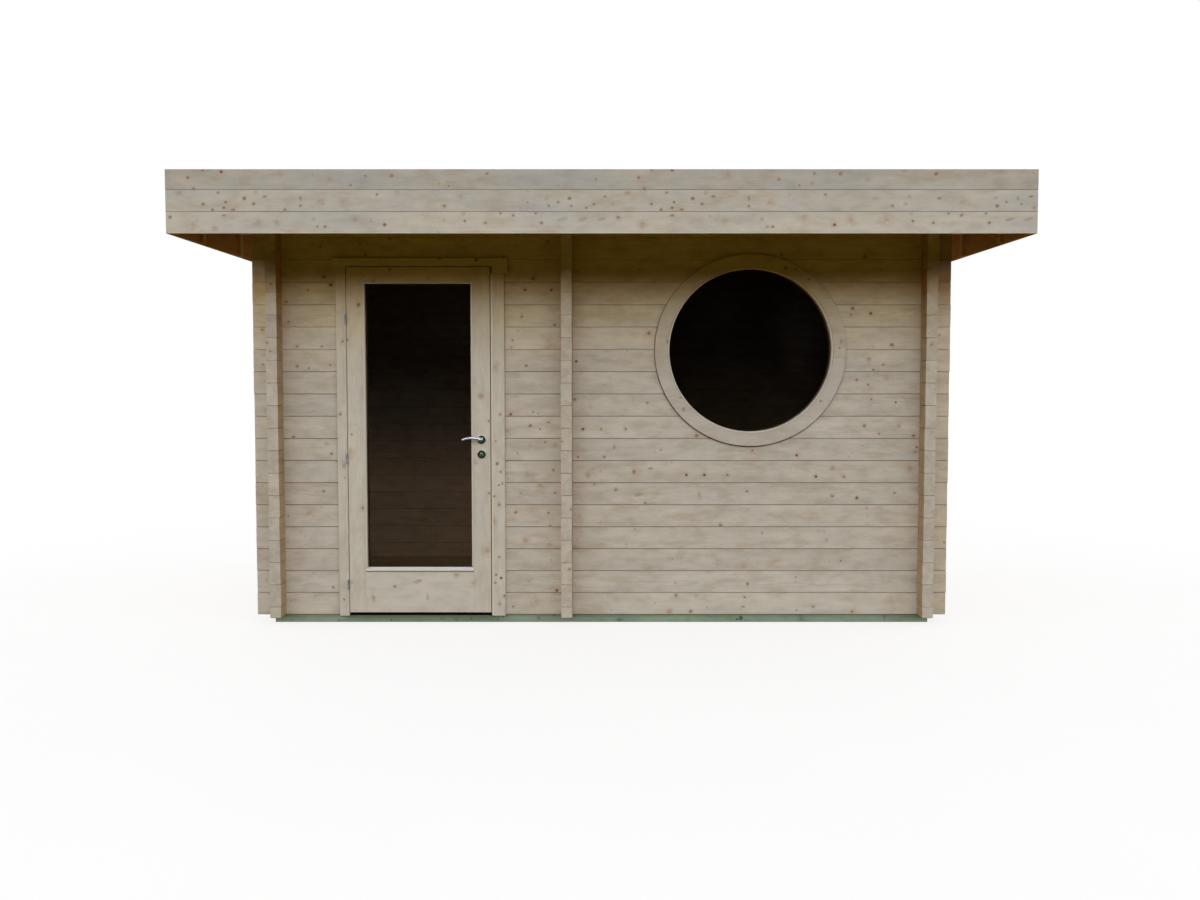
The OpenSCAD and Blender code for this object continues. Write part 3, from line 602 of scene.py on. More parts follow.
def board(piece, bm, grain, seed, r=0.0015, per_metre=2.2, size=0.011, placed=None, placed_normal=(0, -1, 0),
          pith=None, mat=0, end_flag=1.0, segments=2, along=None, tone=None, end_knots=False, worn=0.0, face_mat=None,
          splits=()):
    """Rounds one board or log, cuts its faces round its knots and adds it to the piece.
    grain is the axis (0, 1, 2) that the fibres follow. placed are knots at stated places: (u, v, radius, dark, stretch,
    turn) on the face with placed_normal, in the two axes of that face. worn darkens the sloping edge faces, for grime,
    and the downward ones most, as painted shade beneath the edges."""
    rng = random.Random(seed)
    rounded(bm, r, segments)
    for at in splits:
        no = Vector([1.0 if i == grain else 0.0 for i in range(3)])
        bmesh.ops.bisect_plane(bm, geom=bm.verts[:] + bm.edges[:] + bm.faces[:], dist=1e-6, plane_co=no * at, plane_no=no)
    lo, hi = box_of(bm)
    cross = [i for i in range(3) if i != grain]
    mid = (lo + hi) / 2
    thin = min(cross, key=lambda i: hi[i] - lo[i])
    wide = [i for i in cross if i != thin][0]
    if pith is None:
        away = rng.choice((-1, 1)) * rng.uniform(0.03, 0.11)
        pith = {thin: mid[thin] + away, wide: mid[wide] + rng.uniform(-0.5, 0.5) * (hi[wide] - lo[wide])}
    else:
        pith = {thin: pith[0], wide: pith[1]}
    shift = rng.uniform(0, 40) if along is None else along
    ct = (tone if tone is not None else rng.random(), rng.random())
    grain_dir = Vector([1.0 if i == grain else 0.0 for i in range(3)])

    def wd(co):
        return (co[grain] + shift, co[thin] - pith[thin], co[wide] - pith[wide])

    found = {}
    flat = {}
    for f in bm.faces:
        if f.smooth:
            continue
        n = f.normal
        k = max(range(3), key=lambda i: abs(n[i]))
        if abs(n[k]) > 0.999 and f.calc_area() > 0.0004:
            key = (k, 1 if n[k] > 0 else -1)
            flat.setdefault(key, []).append(f)
    for (k, sign), faces in sorted(flat.items(), key=lambda kv: kv[0]):
        is_end = k == grain
        stated = placed is not None and abs(placed_normal[k]) > 0.5 and placed_normal[k] * sign > 0
        if is_end and not stated and not end_knots:
            continue
        axes = [i for i in range(3) if i != k]
        if not is_end:
            axes.sort(key=lambda i: i != grain)      # along the grain first
        u, v = axes
        flo = [min(w.co[i] for f in faces for w in f.verts) for i in (u, v)]
        fhi = [max(w.co[i] for f in faces for w in f.verts) for i in (u, v)]
        spots = []
        if stated:
            place = dict(zip([i for i in range(3) if i != k], (0, 1)))
            for s in placed:
                pu, pv = s[place[u]], s[place[v]]
                if flo[0] - 0.01 < pu < fhi[0] + 0.01 and flo[1] - 0.008 < pv < fhi[1] + 0.008:
                    spots.append((pu, pv, *s[2:]))
        if (fhi[1] - flo[1]) > 0.016:
            # on a face whose larger knots are stated, only small ones are added, and not near them
            more = random_knots(rng, flo[0], fhi[0], flo[1], fhi[1], per_metre * (0.7 if stated else 1.0),
                                size * (0.55 if stated else 1.0))
            spots += [m for m in more if all(abs(m[0] - s[0]) > 0.07 for s in spots)] if stated else more
        if not spots:
            continue
        reach = {s: s[2] * (3.0 + 2.2 * ((int(abs(s[0]) * 7919) % 100) / 100)) + 0.006 for s in spots}
        cells = {}
        cut_cells(bm, faces, spots, u, v, reach, cells)
        for f, (s, near) in cells.items():
            su, sv, rad, dark, stretch, turn = s
            c, sn = math.cos(turn), math.sin(turn)

            def where(co, su=su, sv=sv, c=c, sn=sn, stretch=stretch, rad=rad, u=u, v=v):
                du, dv = co[u] - su, co[v] - sv
                a, b = du * c + dv * sn, -du * sn + dv * c
                return (a / stretch, b, rad)

            found[f] = (where, (max(0.6 * rad, near[s] / max(1.0, stretch)), dark, rng.uniform(0, 9)))

    def bd(f):
        e = end_flag if abs(f.normal.dot(grain_dir)) > 0.8 else 0.0
        # sloping edge faces take a tone below zero: grime, and more on the downward ones as painted shade
        if worn and 0.25 < abs(f.normal.z) < 0.97:
            return (-worn if f.normal.z < 0 else -0.35 * worn, ct[1], e)
        return (ct[0], ct[1], e)

    if face_mat:
        for f in bm.faces:
            f.material_index = face_mat(f)
    piece.add(bm, wd, bd, found, mat)
    bm.free()


def lathe(profile, steps, place, a0=0.0, a1=2 * math.pi, close=False):
    """Turns (radius, height) points. place maps (radius, angle, height) to a point. close joins the profile's ends."""
    bm = bmesh.new()
    whole = abs(a1 - a0 - 2 * math.pi) < 1e-6
    n = steps if whole else steps + 1
    rings = []
    for i in range(n):
        a = a0 + (a1 - a0) * i / steps
        row = []
        for r, hgt in profile:
            row.append(bm.verts.new(place(r, a, hgt)))
        rings.append(row)
    m = len(profile)
    for i in range(steps):
        p, q = rings[i], rings[(i + 1) % n]
        for j in range(m if close else m - 1):
            k = (j + 1) % m
            bm.faces.new((p[j], q[j], q[k], p[k]))
    if not whole and close:
        bm.faces.new(rings[0][::-1])
        bm.faces.new(rings[-1])
    bmesh.ops.remove_doubles(bm, verts=bm.verts[:], dist=1e-6)
    bmesh.ops.recalc_face_normals(bm, faces=bm.faces[:])
    bm.normal_update()
    for f in bm.faces:
        f.smooth = abs(f.normal.y) < 0.985
    return bm


def round_profile(pts, r, n=3):
    """Rounds the corners of a closed or open run of (radius, height) points."""
    out = []
    for i, p in enumerate(pts):
        a, b = Vector(pts[i - 1]), Vector(pts[(i + 1) % len(pts)])
        c = Vector(p)
        d1, d2 = (a - c), (b - c)
        s = min(r, d1.length * 0.45, d2.length * 0.45)
        p0, p1 = c + d1.normalized() * s, c + d2.normalized() * s
        for k in range(n + 1):
            w = k / n
            out.append(tuple((1 - w) ** 2 * p0 + 2 * w * (1 - w) * c + w ** 2 * p1))
    return out


def plain(piece, bm, tone=0.5, mat=0):
    """Adds metal, glass or felt, which has no grain."""
    piece.add(bm, lambda co: tuple(co), lambda f: (tone, 0.5, 0.0), None, mat)
    bm.free()


# ------------------------------------------------------------------ camera first
cam = bpy.data.cameras.new("camera")
cam.lens, cam.sensor_width, cam.sensor_fit = 36.11, 36.0, "HORIZONTAL"
cam.clip_start, cam.clip_end = 0.05, 400
camera = bpy.data.objects.new("camera", cam)
camera.location = (-0.0092, -8.21, 1.5018)
camera.rotation_euler = (math.radians(90 - 3.479), 0, 0)
bpy.context.scene.collection.objects.link(camera)
bpy.context.scene.camera = camera

# ------------------------------------------------------------------ log walls
KINDS = {  # radius, darkness, stretch along the grain, turn
    "brown": (0.0060, 0.71, 1.0, 0.3), "big": (0.0083, 0.69, 1.1, 0.2), "dark": (0.0068, 1.0, 1.0, 0.0),
    "pale": (0.0105, 0.12, 1.2, 0.2), "upright": (0.0120, 0.46, 0.50, 0.1), "dash": (0.0055, 0.55, 2.0, 0.05),
    "ghost": (0.0160, 0.15, 1.1, 0.4), "tan": (0.0170, 0.26, 1.0, 0.2), "smear": (0.0105, 0.24, 2.6, 0.25),
    "column": (0.0150, 0.16, 0.4, 0.1), "dot": (0.0050, 0.70, 1.1, 0.2), "faint": (0.0120, 0.16, 1.1, 0.3),
    "black": (0.0092, 0.97, 1.1, 0.1)}


def marks(**kinds):
    """The larger knots of a front face: (x, z) in metres, by kind."""
    return [(x - 0.003, z + 0.005, *KINDS[k]) for k, places in sorted(kinds.items()) for x, z in places]


KNOTS_FASCIA = marks(
    brown=[(-2.31, 2.35), (-2.21, 2.56), (-2.18, 2.50), (-2.13, 2.42), (-2.08, 2.39), (-2.02, 2.40),
           (-2.01, 2.43), (-1.86, 2.42), (-1.48, 2.30), (-1.26, 2.57), (-0.73, 2.33), (-0.61, 2.58),
           (-0.47, 2.36), (-0.28, 2.41), (0.09, 2.35), (0.20, 2.56), (0.23, 2.50), (0.27, 2.42), (0.32, 2.39),
           (0.38, 2.40), (0.39, 2.43), (0.54, 2.42), (0.92, 2.30), (1.14, 2.58), (1.67, 2.33), (1.78, 2.32),
           (1.93, 2.36), (2.08, 2.32)],
    dot=[(-2.13, 2.60), (-2.05, 2.48), (-1.61, 2.41), (-1.52, 2.30), (-1.34, 2.52), (-1.20, 2.47),
         (-0.84, 2.41), (-0.62, 2.32), (-0.54, 2.37), (-0.35, 2.37), (-0.32, 2.32), (-0.23, 2.43),
         (-0.16, 2.41), (-0.08, 2.40), (-0.04, 2.42), (-0.03, 2.55), (0.02, 2.46), (0.27, 2.60), (0.35, 2.48),
         (0.79, 2.41), (0.95, 2.55), (1.06, 2.52), (1.20, 2.47), (1.56, 2.41), (1.86, 2.37), (2.06, 2.37),
         (2.17, 2.43), (2.25, 2.42), (2.32, 2.40)],
    dark=[(-2.03, 2.59), (-1.16, 2.31), (0.38, 2.60), (1.25, 2.31)],
    big=[(-1.91, 2.45), (-1.12, 2.57), (-0.17, 2.45), (0.49, 2.45), (1.28, 2.58), (1.79, 2.58), (2.12, 2.41)],
    faint=[(-2.26, 2.48), (-2.19, 2.31), (-2.07, 2.29), (-1.85, 2.48), (-1.84, 2.32), (-1.74, 2.32),
           (-1.72, 2.58), (-1.45, 2.55), (-1.38, 2.43), (-1.32, 2.34), (-1.28, 2.53), (-0.74, 2.37), (0.06, 2.42),
           (0.14, 2.48), (0.22, 2.31), (0.56, 2.48), (0.66, 2.33), (0.68, 2.58), (0.89, 2.30), (1.08, 2.35),
           (1.13, 2.53), (1.34, 2.34), (1.43, 2.55), (1.53, 2.34), (1.62, 2.60), (1.63, 2.42), (1.66, 2.37),
           (1.93, 2.43)],
    dash=[(-2.02, 2.36), (-1.97, 2.39), (-1.80, 2.46), (0.38, 2.36), (0.43, 2.39), (0.60, 2.46), (1.81, 2.45),
          (2.30, 2.46)],
    upright=[(-1.61, 2.45), (0.79, 2.45), (2.23, 2.45)],
    ghost=[(-1.50, 2.43), (0.91, 2.43)],
    pale=[(-1.54, 2.34), (-0.75, 2.46), (-0.29, 2.45), (0.86, 2.34), (1.47, 2.45), (1.65, 2.46), (2.11, 2.45)],
    smear=[(-0.21, 2.34), (-0.10, 2.34), (-0.00, 2.34), (2.19, 2.34), (2.29, 2.34)],
)
KNOTS_WALL = marks(
    black=[(-1.63, 2.05)],
    dark=[(-0.46, 2.02), (-0.30, 2.02), (-0.55, 1.27), (-0.27, 0.19), (-0.15, 1.59), (-0.11, 1.18),
           (0.52, 0.90), (0.63, 0.90), (1.19, 1.02), (1.31, 0.89), (1.56, 0.76), (1.63, 1.88)],
    big=[(-1.67, 2.10), (-1.87, 1.13), (-0.41, 2.09), (-0.43, 1.20), (0.29, 1.76), (0.58, 1.14), (0.20, 0.92),
           (0.73, 0.59), (0.55, 0.06), (1.90, 1.14), (1.59, 2.22), (1.52, 1.91), (1.76, 1.69), (1.60, 1.20)],
    brown=[(-1.89, 1.83), (-1.84, 1.56), (-1.64, 1.03), (-1.69, 0.80), (-1.64, 0.21), (-0.32, 2.31), (-0.48, 1.86),
           (-0.28, 1.81), (-0.29, 0.93), (-0.32, 0.67), (0.32, 2.07), (-0.16, 1.36), (0.15, 1.18), (-0.14, 1.01),
           (0.77, 0.90), (0.09, 0.81), (0.27, 0.73), (0.89, 0.80), (0.46, 0.16), (0.88, 0.15), (0.92, 1.05),
           (1.48, 0.89), (1.41, 0.77), (1.92, 1.07), (1.30, 0.09), (1.54, 0.06), (1.65, 1.54), (1.55, 1.48)],
    pale=[(-1.67, 1.09), (-1.75, 0.16), (-0.43, 1.08), (-0.44, 0.25), (-0.16, 0.78), (-0.13, 0.64), (0.29, 0.32),
           (0.58, 0.16), (1.92, 0.32), (1.77, 0.13), (1.73, 1.50), (1.81, 1.20)],
    ghost=[(-1.78, 0.67), (-0.31, 1.70), (0.87, 0.33), (0.42, 0.06), (1.41, 0.94), (1.06, 0.37)],
    dash=[(-0.32, 1.22), (0.30, 0.94), (0.87, 0.09), (1.79, 0.79)],
    upright=[(0.08, 1.07)],
    smear=[(0.23, 0.78)],
    column=[(0.60, 0.78)],
    tan=[(1.88, 0.94), (1.62, 1.60)],
    dot=[(-1.90, 1.95), (-1.77, 2.02), (-1.84, 1.68), (-1.69, 1.68), (-1.77, 1.55), (-1.64, 1.57), (-1.45, 2.30),
         (-1.27, 2.33), (-1.69, 2.28), (-1.42, 2.23), (0.00, 1.18), (0.02, 1.01), (-0.34, 1.10), (-0.28, 0.79),
         (-0.54, 0.09), (1.09, 2.23), (0.41, 1.93), (1.51, 1.87), (1.71, 1.57), (1.62, 1.45), (1.64, 1.36),
         (1.91, 1.04), (0.28, 1.34), (1.35, 2.01), (1.69, 1.15), (-2.05, 1.57), (-2.05, 1.78), (-0.37, 1.18),
         (-0.31, 0.59)],
    faint=[(-0.37, 0.84), (-0.08, 0.90), (-0.46, 0.50), (-0.32, 0.47), (-0.57, 1.17), (-0.16, 0.46), (-0.40, 0.12),
           (-0.28, 1.08), (-0.45, 0.90)],
)
KNOTS_ENDS = marks(
    dot=[(-1.99, 1.70), (-1.96, 2.05), (-1.97, 1.65), (1.97, 1.69), (-0.18, 0.70), (-0.235, 1.11)],
    brown=[(-0.19, 0.34)],
)
KNOTS_CASING = marks(
    brown=[(-0.97, 2.21), (-1.63, 2.14), (-1.58, 1.27), (-0.62, 0.84), (-0.64, 0.29), (-0.59, 0.16)],
    dark=[(-0.75, 2.20), (-0.61, 0.27)],
    pale=[(-1.56, 0.96), (-0.63, 1.56), (-0.65, 0.62), (-0.62, 0.11)],
    big=[(-0.63, 0.97), (-0.67, 0.34)],
    dash=[(-0.60, 0.85)],
    upright=[(-0.65, 0.24)],
    dot=[(-1.56, 1.71), (-0.61, 0.92), (-0.65, 0.77), (-0.62, 0.72), (-0.62, 0.40), (-0.61, 1.27)],
)
KNOTS_DOOR = marks(
    brown=[(-1.37, 2.07), (-1.45, 0.70), (-1.26, 0.22)],
    big=[(-1.46, 1.93)],
    pale=[(-1.52, 1.04), (-0.77, 1.47), (-0.88, 0.29)],
    tan=[(-0.73, 1.38), (-0.69, 0.44)],
    column=[(-1.39, 0.15), (-1.06, 0.15)],
    smear=[(-1.12, 0.25)],
    dot=[(-1.53, 1.72), (-1.27, 2.14), (-0.68, 0.79), (-0.68, 1.23)],
    faint=[(-0.77, 0.98), (-0.78, 0.24)],
)
KNOTS_RING = marks(
    upright=[(0.40, 1.71), (0.50, 1.30), (1.45, 1.71)],
    brown=[(1.33, 1.35), (1.17, 2.14)],
    big=[(1.11, 2.15)],
    dot=[(0.48, 1.37), (1.42, 1.66), (1.44, 1.67), (1.25, 2.08)],
)

def inner_faces(side):
    """Which faces of a wall's logs have another tone: 1 in the recesses of the crossed corners, where the side walls'
    faces take a darker, browner wood as painted shade, 2 inside the rooms.
    """
    def pick(f):
        c, n = f.calc_center_median(), f.normal
        if side == "front":
            if abs(c.x) < 1.934 and n.y > 0.5:
                return 2
            return 1 if c.x > 2.0 and n.y < -0.5 else 0
        if side == "rear":
            return 2 if abs(c.x) < 1.934 and n.y < -0.5 else 0
        inward = side == "partition" or n.x * (1 if side == "left" else -1) > 0.3
        if inward and -0.834 < c.y < 1.334:
            return 2
        return 1 if inward and c.y < -0.9 and n.y > -0.5 and (side != "partition" or n.x > 0) else 0
    return pick


WALL_X = (-2.0, -1.934, -0.243, -0.177, 1.934, 2.0)
WALL_Y = (-0.9, -0.834, 1.334, 1.4)
for side, node_parts, grain in (
        ("front", "front_wall_logs", 0), ("rear", "rear_wall_logs", 0), ("left", "left_wall_logs", 1),
        ("right", "right_wall_logs", 1), ("partition", "partition_logs", 1)):
    for parity in ("even", "odd"):
        node = f"{node_parts}_{parity}"
        p = Piece(f"{side}_{parity}_timber")
        for bm in solids(node):
            lo, hi = box_of(bm)
            course = round(lo.z * 1000)
            rng = random.Random(f"{side}{course}")
            # a log is a little proud or shy of its neighbours, and its crossed ends aren't all cut to one length
            thin_axis = 1 - grain
            off = rng.uniform(-0.0009, 0.0009) * (1.0 if grain == 0 else 1.8)
            pith_thin = rng.choice((-1, 1)) * rng.uniform(0.045, 0.12)
            pith_wide = rng.uniform(-0.05, 0.05)
            mid = (lo + hi) / 2
            ends = (rng.uniform(-0.0015, 0.0015), rng.uniform(-0.0015, 0.0015))
            if side == "front":
                ends = (ends[0] - 0.002, ends[1] - 0.001)
            for w in bm.verts:
                w.co[thin_axis] += off
                if abs(w.co[grain] - lo[grain]) < 1e-4 and (grain == 1 or lo[grain] < -2.0):
                    w.co[grain] -= ends[0]
                if abs(w.co[grain] - hi[grain]) < 1e-4 and (grain == 1 or hi[grain] > 2.0):
                    w.co[grain] += ends[1]
            ease_ends(bm, grain, 0.0020)
            zmid = (course / 1000 + 0.0675)
            board(p, bm, grain, f"{side}{course}{round(lo[grain], 1)}", r=0.0012, per_metre=2.4, size=0.0095,
                  placed={"front": KNOTS_WALL, "rear": None}.get(side, KNOTS_ENDS),
                  pith=(mid[thin_axis] + pith_thin, zmid + pith_wide), along=rng.uniform(0, 30),
                  tone=(0.35 if side == "partition" else 0.001) + (0.649 if side == "partition" else 0.998) * rng.random(),
                  end_knots=(grain == 1), worn=0.8, face_mat=inner_faces(side),
                  splits=WALL_X if grain == 0 else WALL_Y)
        p.make({"front": ["log", "log_corner", "inside"], "rear": ["log", "log", "inside"]}.get(side, ["side_log", "recess", "inside"]),
               "cabin", node, "log_timber")

# ------------------------------------------------------------------ foundation and floors
p = Piece("foundation_timber")
for i, bm in enumerate(solids("foundation_beams")):
    lo, hi = box_of(bm)
    board(p, bm, 0 if hi.x - lo.x > hi.y - lo.y else 1, f"beam{i}", r=0.003, per_metre=3.2, size=0.010, worn=0.8)
p.make("green", "cabin", "foundation_beams", "treated_beam")

p = Piece("floor_joist_timber")
for i, bm in enumerate(solids("floor_joists")):
    board(p, bm, 1, f"fj{i}", r=0.002)
p.make("green", "cabin", "floor_joists", "joist_timber")


def boards_over(piece, lo, hi, run, width, seed, **kw):
    """Boards side by side: run is the axis they lie along."""
    acr = 1 - run
    n = max(1, round((hi[acr] - lo[acr]) / width))
    w = (hi[acr] - lo[acr]) / n
    for i in range(n):
        a, b = list(lo), list(hi)
        a[acr], b[acr] = lo[acr] + i * w + 0.0004, lo[acr] + (i + 1) * w - 0.0004
        bm = block(a, b)
        board(piece, bm, run, f"{seed}{i}", r=kw.get("r", 0.0018), per_metre=kw.get("per_metre", 1.8), size=0.010)


for room in ("left_room_floor", "right_room_floor"):
    p = Piece(room.replace("floor", "boards"))
    for bm in solids(room):
        lo, hi = box_of(bm)
        tongue = [f for f in bm.faces]
        if room == "left_room_floor":
            # the room's own boards, then the strip that goes through the partition's doorway
            edge = min(x for x in (v.co.x for v in bm.verts) if x > -0.30)
            ys = sorted({round(v.co.y, 4) for v in bm.verts if v.co.x > edge + 0.01})
            bm.free()
            boards_over(p, lo, Vector((edge, hi.y, hi.z)), 0, 0.095, "lf")
            boards_over(p, Vector((edge + 0.0006, ys[0], lo.z)), Vector((hi.x, ys[-1], hi.z)), 1, 0.095, "ls", per_metre=0.8)
        else:
            bm.free()
            boards_over(p, lo, hi, 0, 0.095, "rf")
    p.make("floor", "cabin", room, "floor_boards")

# ------------------------------------------------------------------ door frame and casings
for node, name, mat, slot, grains, placed in (
        ("door_frame_posts", "frame_posts", "frame", "frame_timber", 2, None),
        ("door_frame_head", "frame_head", "frame", "frame_timber", 0, None),
        ("door_threshold", "threshold_board", "frame", "frame_timber", 0, None),
        ("door_side_casings", "side_casing_boards", "casing", "casing_timber", 2, KNOTS_CASING),
        ("door_head_casing", "head_casing_board", "casing", "casing_timber", 0, KNOTS_CASING),
        ("door_inner_casings", "inner_casing_boards", "casing", "casing_timber", None, None)):
    p = Piece(name)
    for i, bm in enumerate(solids(node)):
        lo, hi = box_of(bm)
        g = grains if grains is not None else (2 if hi.z - lo.z > hi.x - lo.x else 0)
        # the inner edges at the door gap take the lighter wood: unweathered, and painted light against the gap's shade
        inner = (lambda f: 1 if abs(f.normal.x) > 0.9 and -1.56 < f.calc_center_median().x < -0.65 else 0)
        board(p, bm, g, f"{node}{i}", r=0.0015, per_metre=1.6, size=0.008, placed=placed,
              face_mat=inner if node in ("door_side_casings", "door_frame_posts") else None)
    if node == "door_head_casing":
        # dark strips round its top and sides stand for the shadow line at its edge: painted shade
        lo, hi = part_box(node)
        for a, b in (((lo.x - 0.0018, -0.9025, hi.z - 0.002), (hi.x + 0.0018, -0.9003, hi.z + 0.0034)),
                     ((lo.x - 0.0018, -0.9025, lo.z + 0.001), (lo.x + 0.002, -0.9003, hi.z - 0.002)),
                     ((hi.x - 0.002, -0.9025, lo.z + 0.001), (hi.x + 0.0018, -0.9003, hi.z - 0.002))):
            board(p, block(a, b), 0, f"seal{a}", r=0.0004, mat=1)
    if node == "door_threshold":
        # black strips beneath and before the threshold, where the gap below the door leaf is: painted shade
        board(p, block((-1.5405, -0.8985, 0.0472), (-0.6685, -0.8625, 0.0492)), 0, "dpc", r=0.0004, mat=1)
        board(p, block((-1.5405, -0.8625, 0.0472), (-0.6685, -0.8612, 0.0605)), 0, "dpc2", r=0.0003, mat=1)
        board(p, block((-1.5405, -0.9007, 0.0425), (-0.6685, -0.8987, 0.0492)), 0, "dpc3", r=0.0004, mat=1)
    if node == "door_side_casings":
        # the rebate that narrows the gap at the lock side, clear of the leaf's swing, in the lighter edge wood as
        # painted light against the gap's shade
        lo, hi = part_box("door_side_casings")
        board(p, block((-0.6688, -0.9155, lo.z + 0.002), (-0.6602, -0.9030, 2.125)), 2, "rebate", r=0.0008, mat=1)
    p.make({"door_head_casing": [mat, "seal"], "door_threshold": [mat, "bitumen"], "door_side_casings": [mat, "fresh_lit"],
            "door_frame_posts": [mat, "fresh_lit"]}.get(node, mat), "cabin", node, slot)

# ------------------------------------------------------------------ round window
WIN = Vector((0.900, -0.900, 1.660))


def at_win(y):
    return lambda r, a, h: (WIN.x + r * math.cos(a), WIN.y + y + h, WIN.z + r * math.sin(a))


def ring_pieces(piece, outer, inner, y, depth, cuts, seed, r=0.002, steps=64, placed=()):
    prof = round_profile([(inner, 0), (outer, 0), (outer, depth), (inner, depth)], r, 2)
    for i, (a0, a1) in enumerate(cuts):
        bm = lathe(prof, steps, at_win(y), math.radians(a0), math.radians(a1), close=True)
        rng = random.Random(f"{seed}{i}")
        sh, pz, py = rng.uniform(0, 30), WIN.z + (0.30 if i == 0 else -0.42), WIN.y + 0.05
        tone = (rng.random(), rng.random(), 0.0)
        for f in bm.faces:
            n = f.normal
            f.smooth = abs(n.y) < 0.97
        found = {}
        for f in bm.faces:
            c = f.calc_center_median()
            near = [(math.hypot(c.x - s[0], c.z - s[1]), s) for s in placed]
            if near and c.y < WIN.y - 0.015 and min(near)[0] < 0.06:
                x, z, rad, dark, stretch, turn = min(near)[1]

                def where(co, x=x, z=z, rad=rad, stretch=stretch):
                    return ((co.x - x) / stretch, co.z - z, rad)

                found[f] = (where, (rad * 2.4, dark, 1.0 + x))
        piece.add(bm, lambda co: (co.x + sh, co.y - py, co.z - pz), lambda f: tone, found)
        bm.free()


p = Piece("round_window_face_ring")
ring_pieces(p, 0.578, 0.5006, -0.020, 0.020, ((-4.6, 184.6), (184.72, 355.28)), "ro", 0.0022, 90, KNOTS_RING)
# a dark ring just outside the face ring, set 2 mm low so it shows most at the bottom: painted shadow line
bm = lathe([(0.556, -0.0001), (0.5812, -0.0001), (0.5812, -0.0024), (0.556, -0.0024)], 128, at_win(0.0), close=True)
for w in bm.verts:
    w.co.z -= 0.0020
plain(p, bm, mat=1)
p.make(["ring", "seal"], "cabin", "round_window_outer_ring", "ring_timber")
p = Piece("round_window_back_ring")
ring_pieces(p, 0.578, 0.490, 0.066, 0.020, ((0, 179.88), (180, 359.88)), "ri", 0.0025, 90)
p.make("ring", "cabin", "round_window_inner_ring", "ring_timber")
p = Piece("round_window_lining")
ring_pieces(p, 0.530, 0.5006, 0.0, 0.066, ((0, 89.95), (90, 179.95), (180, 269.95), (270, 359.95)), "rl", 0.001, 32)
p.make("ring", "cabin", "round_window_liner", "ring_timber")
p = Piece("round_window_glazing_bead")
ring_pieces(p, 0.500, 0.490, -0.0180, 0.0400, ((45, 224.95), (225, 404.95)), "rb", 0.0034, 90)
ring_pieces(p, 0.500, 0.490, 0.0286, 0.0374, ((45, 224.95), (225, 404.95)), "rc", 0.0015, 90)
p.make("bead", "cabin", "round_window_bead", "bead_timber")

# ------------------------------------------------------------------ roof
for node, name, mat, grain in (("rafters", "rafter_timber", "joist", 1), ("side_outriggers", "outrigger_timber", "joist", 0),
                               ("eaves_blocking", "blocking_timber", "joist", 0), ("fascia_battens", "batten_timber", "batten", 2)):
    p = Piece(name)
    for i, bm in enumerate(solids(node)):
        board(p, bm, grain, f"{node}{i}", r=0.002, per_metre=2.0, size=0.010)
    p.make(mat, "cabin", node, "joist_timber")

lo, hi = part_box("roof_deck")
p = Piece("roof_deck_boards")
boards_over(p, lo, hi, 0, 0.095, "deck", r=0.0025)
p.make("roof_board", "cabin", "roof_deck", "roof_boards")

# the fascia: three boards a side, their weathered faces outward and a darker, redder wood on the inner and lower faces
for node, grain in (("front_fascia", 0), ("rear_fascia", 0), ("left_fascia", 1), ("right_fascia", 1)):
    p = Piece(node + "_boards")
    for i, bm in enumerate(solids(node)):
        lo, hi = box_of(bm)
        rng = random.Random(f"{node}{round(lo.z, 2)}")
        off = rng.uniform(-0.0006, 0.0006)
        for w in bm.verts:
            w.co[1 - grain] += off
        board(p, bm, grain, f"{node}{i}", r=0.0013, per_metre=2.6, size=0.009,
              placed=KNOTS_FASCIA if node == "front_fascia" else None,
              tone=(0.95, 0.60, 0.08)[i % 3], worn=0.7)
    # inner and lower faces take the darker, redder wood
    inward = {"front_fascia": (1, 1), "rear_fascia": (1, -1), "left_fascia": (0, 1), "right_fascia": (0, -1)}[node]
    o = p.make(["fascia", "eaves"], "cabin", node, "fascia_boards")
    for poly in o.data.polygons:
        if poly.normal[inward[0]] * inward[1] > 0.7 or poly.normal.z < -0.9:
            poly.material_index = 1

# felt in three lengths with laps, turned up inside the fascia
lo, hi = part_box("roof_membrane")
p = Piece("roofing_felt_sheets")
n = 4
span = (hi.y - lo.y) / n
for i in range(n):
    y0 = lo.y + i * span - (0.035 if i else 0.0)
    y1 = lo.y + (i + 1) * span
    z0 = lo.z + 0.0002 + (0.0012 if i % 2 else 0.0)
    bm = bmesh.new()
    nx, ny = 60, 12
    grid = [[bm.verts.new((lo.x + 0.002 + (hi.x - lo.x - 0.004) * a / nx, y0 + (y1 - y0) * b / ny, 0)) for b in range(ny + 1)]
            for a in range(nx + 1)]
    for row in grid:
        for v in row:
            lift = 0.0016 + 0.0007 * mnoise.noise((v.co.x * 2.2, v.co.y * 2.2, i * 3.0))
            v.co.z = z0 + lift
    for a in range(nx):
        for b in range(ny):
            bm.faces.new((grid[a][b], grid[a + 1][b], grid[a + 1][b + 1], grid[a][b + 1]))
    ext = bmesh.ops.extrude_face_region(bm, geom=bm.faces[:])
    for v in ext["geom"]:
        if isinstance(v, bmesh.types.BMVert):
            v.co.z += 0.0014
    bmesh.ops.recalc_face_normals(bm, faces=bm.faces[:])
    plain(p, bm)
up = 0.038
for a, b in (((lo.x + 0.001, lo.y + 0.001), (hi.x - 0.001, lo.y + 0.004)), ((lo.x + 0.001, hi.y - 0.004), (hi.x - 0.001, hi.y - 0.001)),
             ((lo.x + 0.001, lo.y + 0.004), (lo.x + 0.004, hi.y - 0.004)), ((hi.x - 0.004, lo.y + 0.004), (hi.x - 0.001, hi.y - 0.004))):
    bm = rounded(block((a[0], a[1], lo.z + 0.003), (b[0], b[1], lo.z + up)), 0.001, 1)
    plain(p, bm)
p.make("felt", "cabin", "roof_membrane", "roof_membrane")

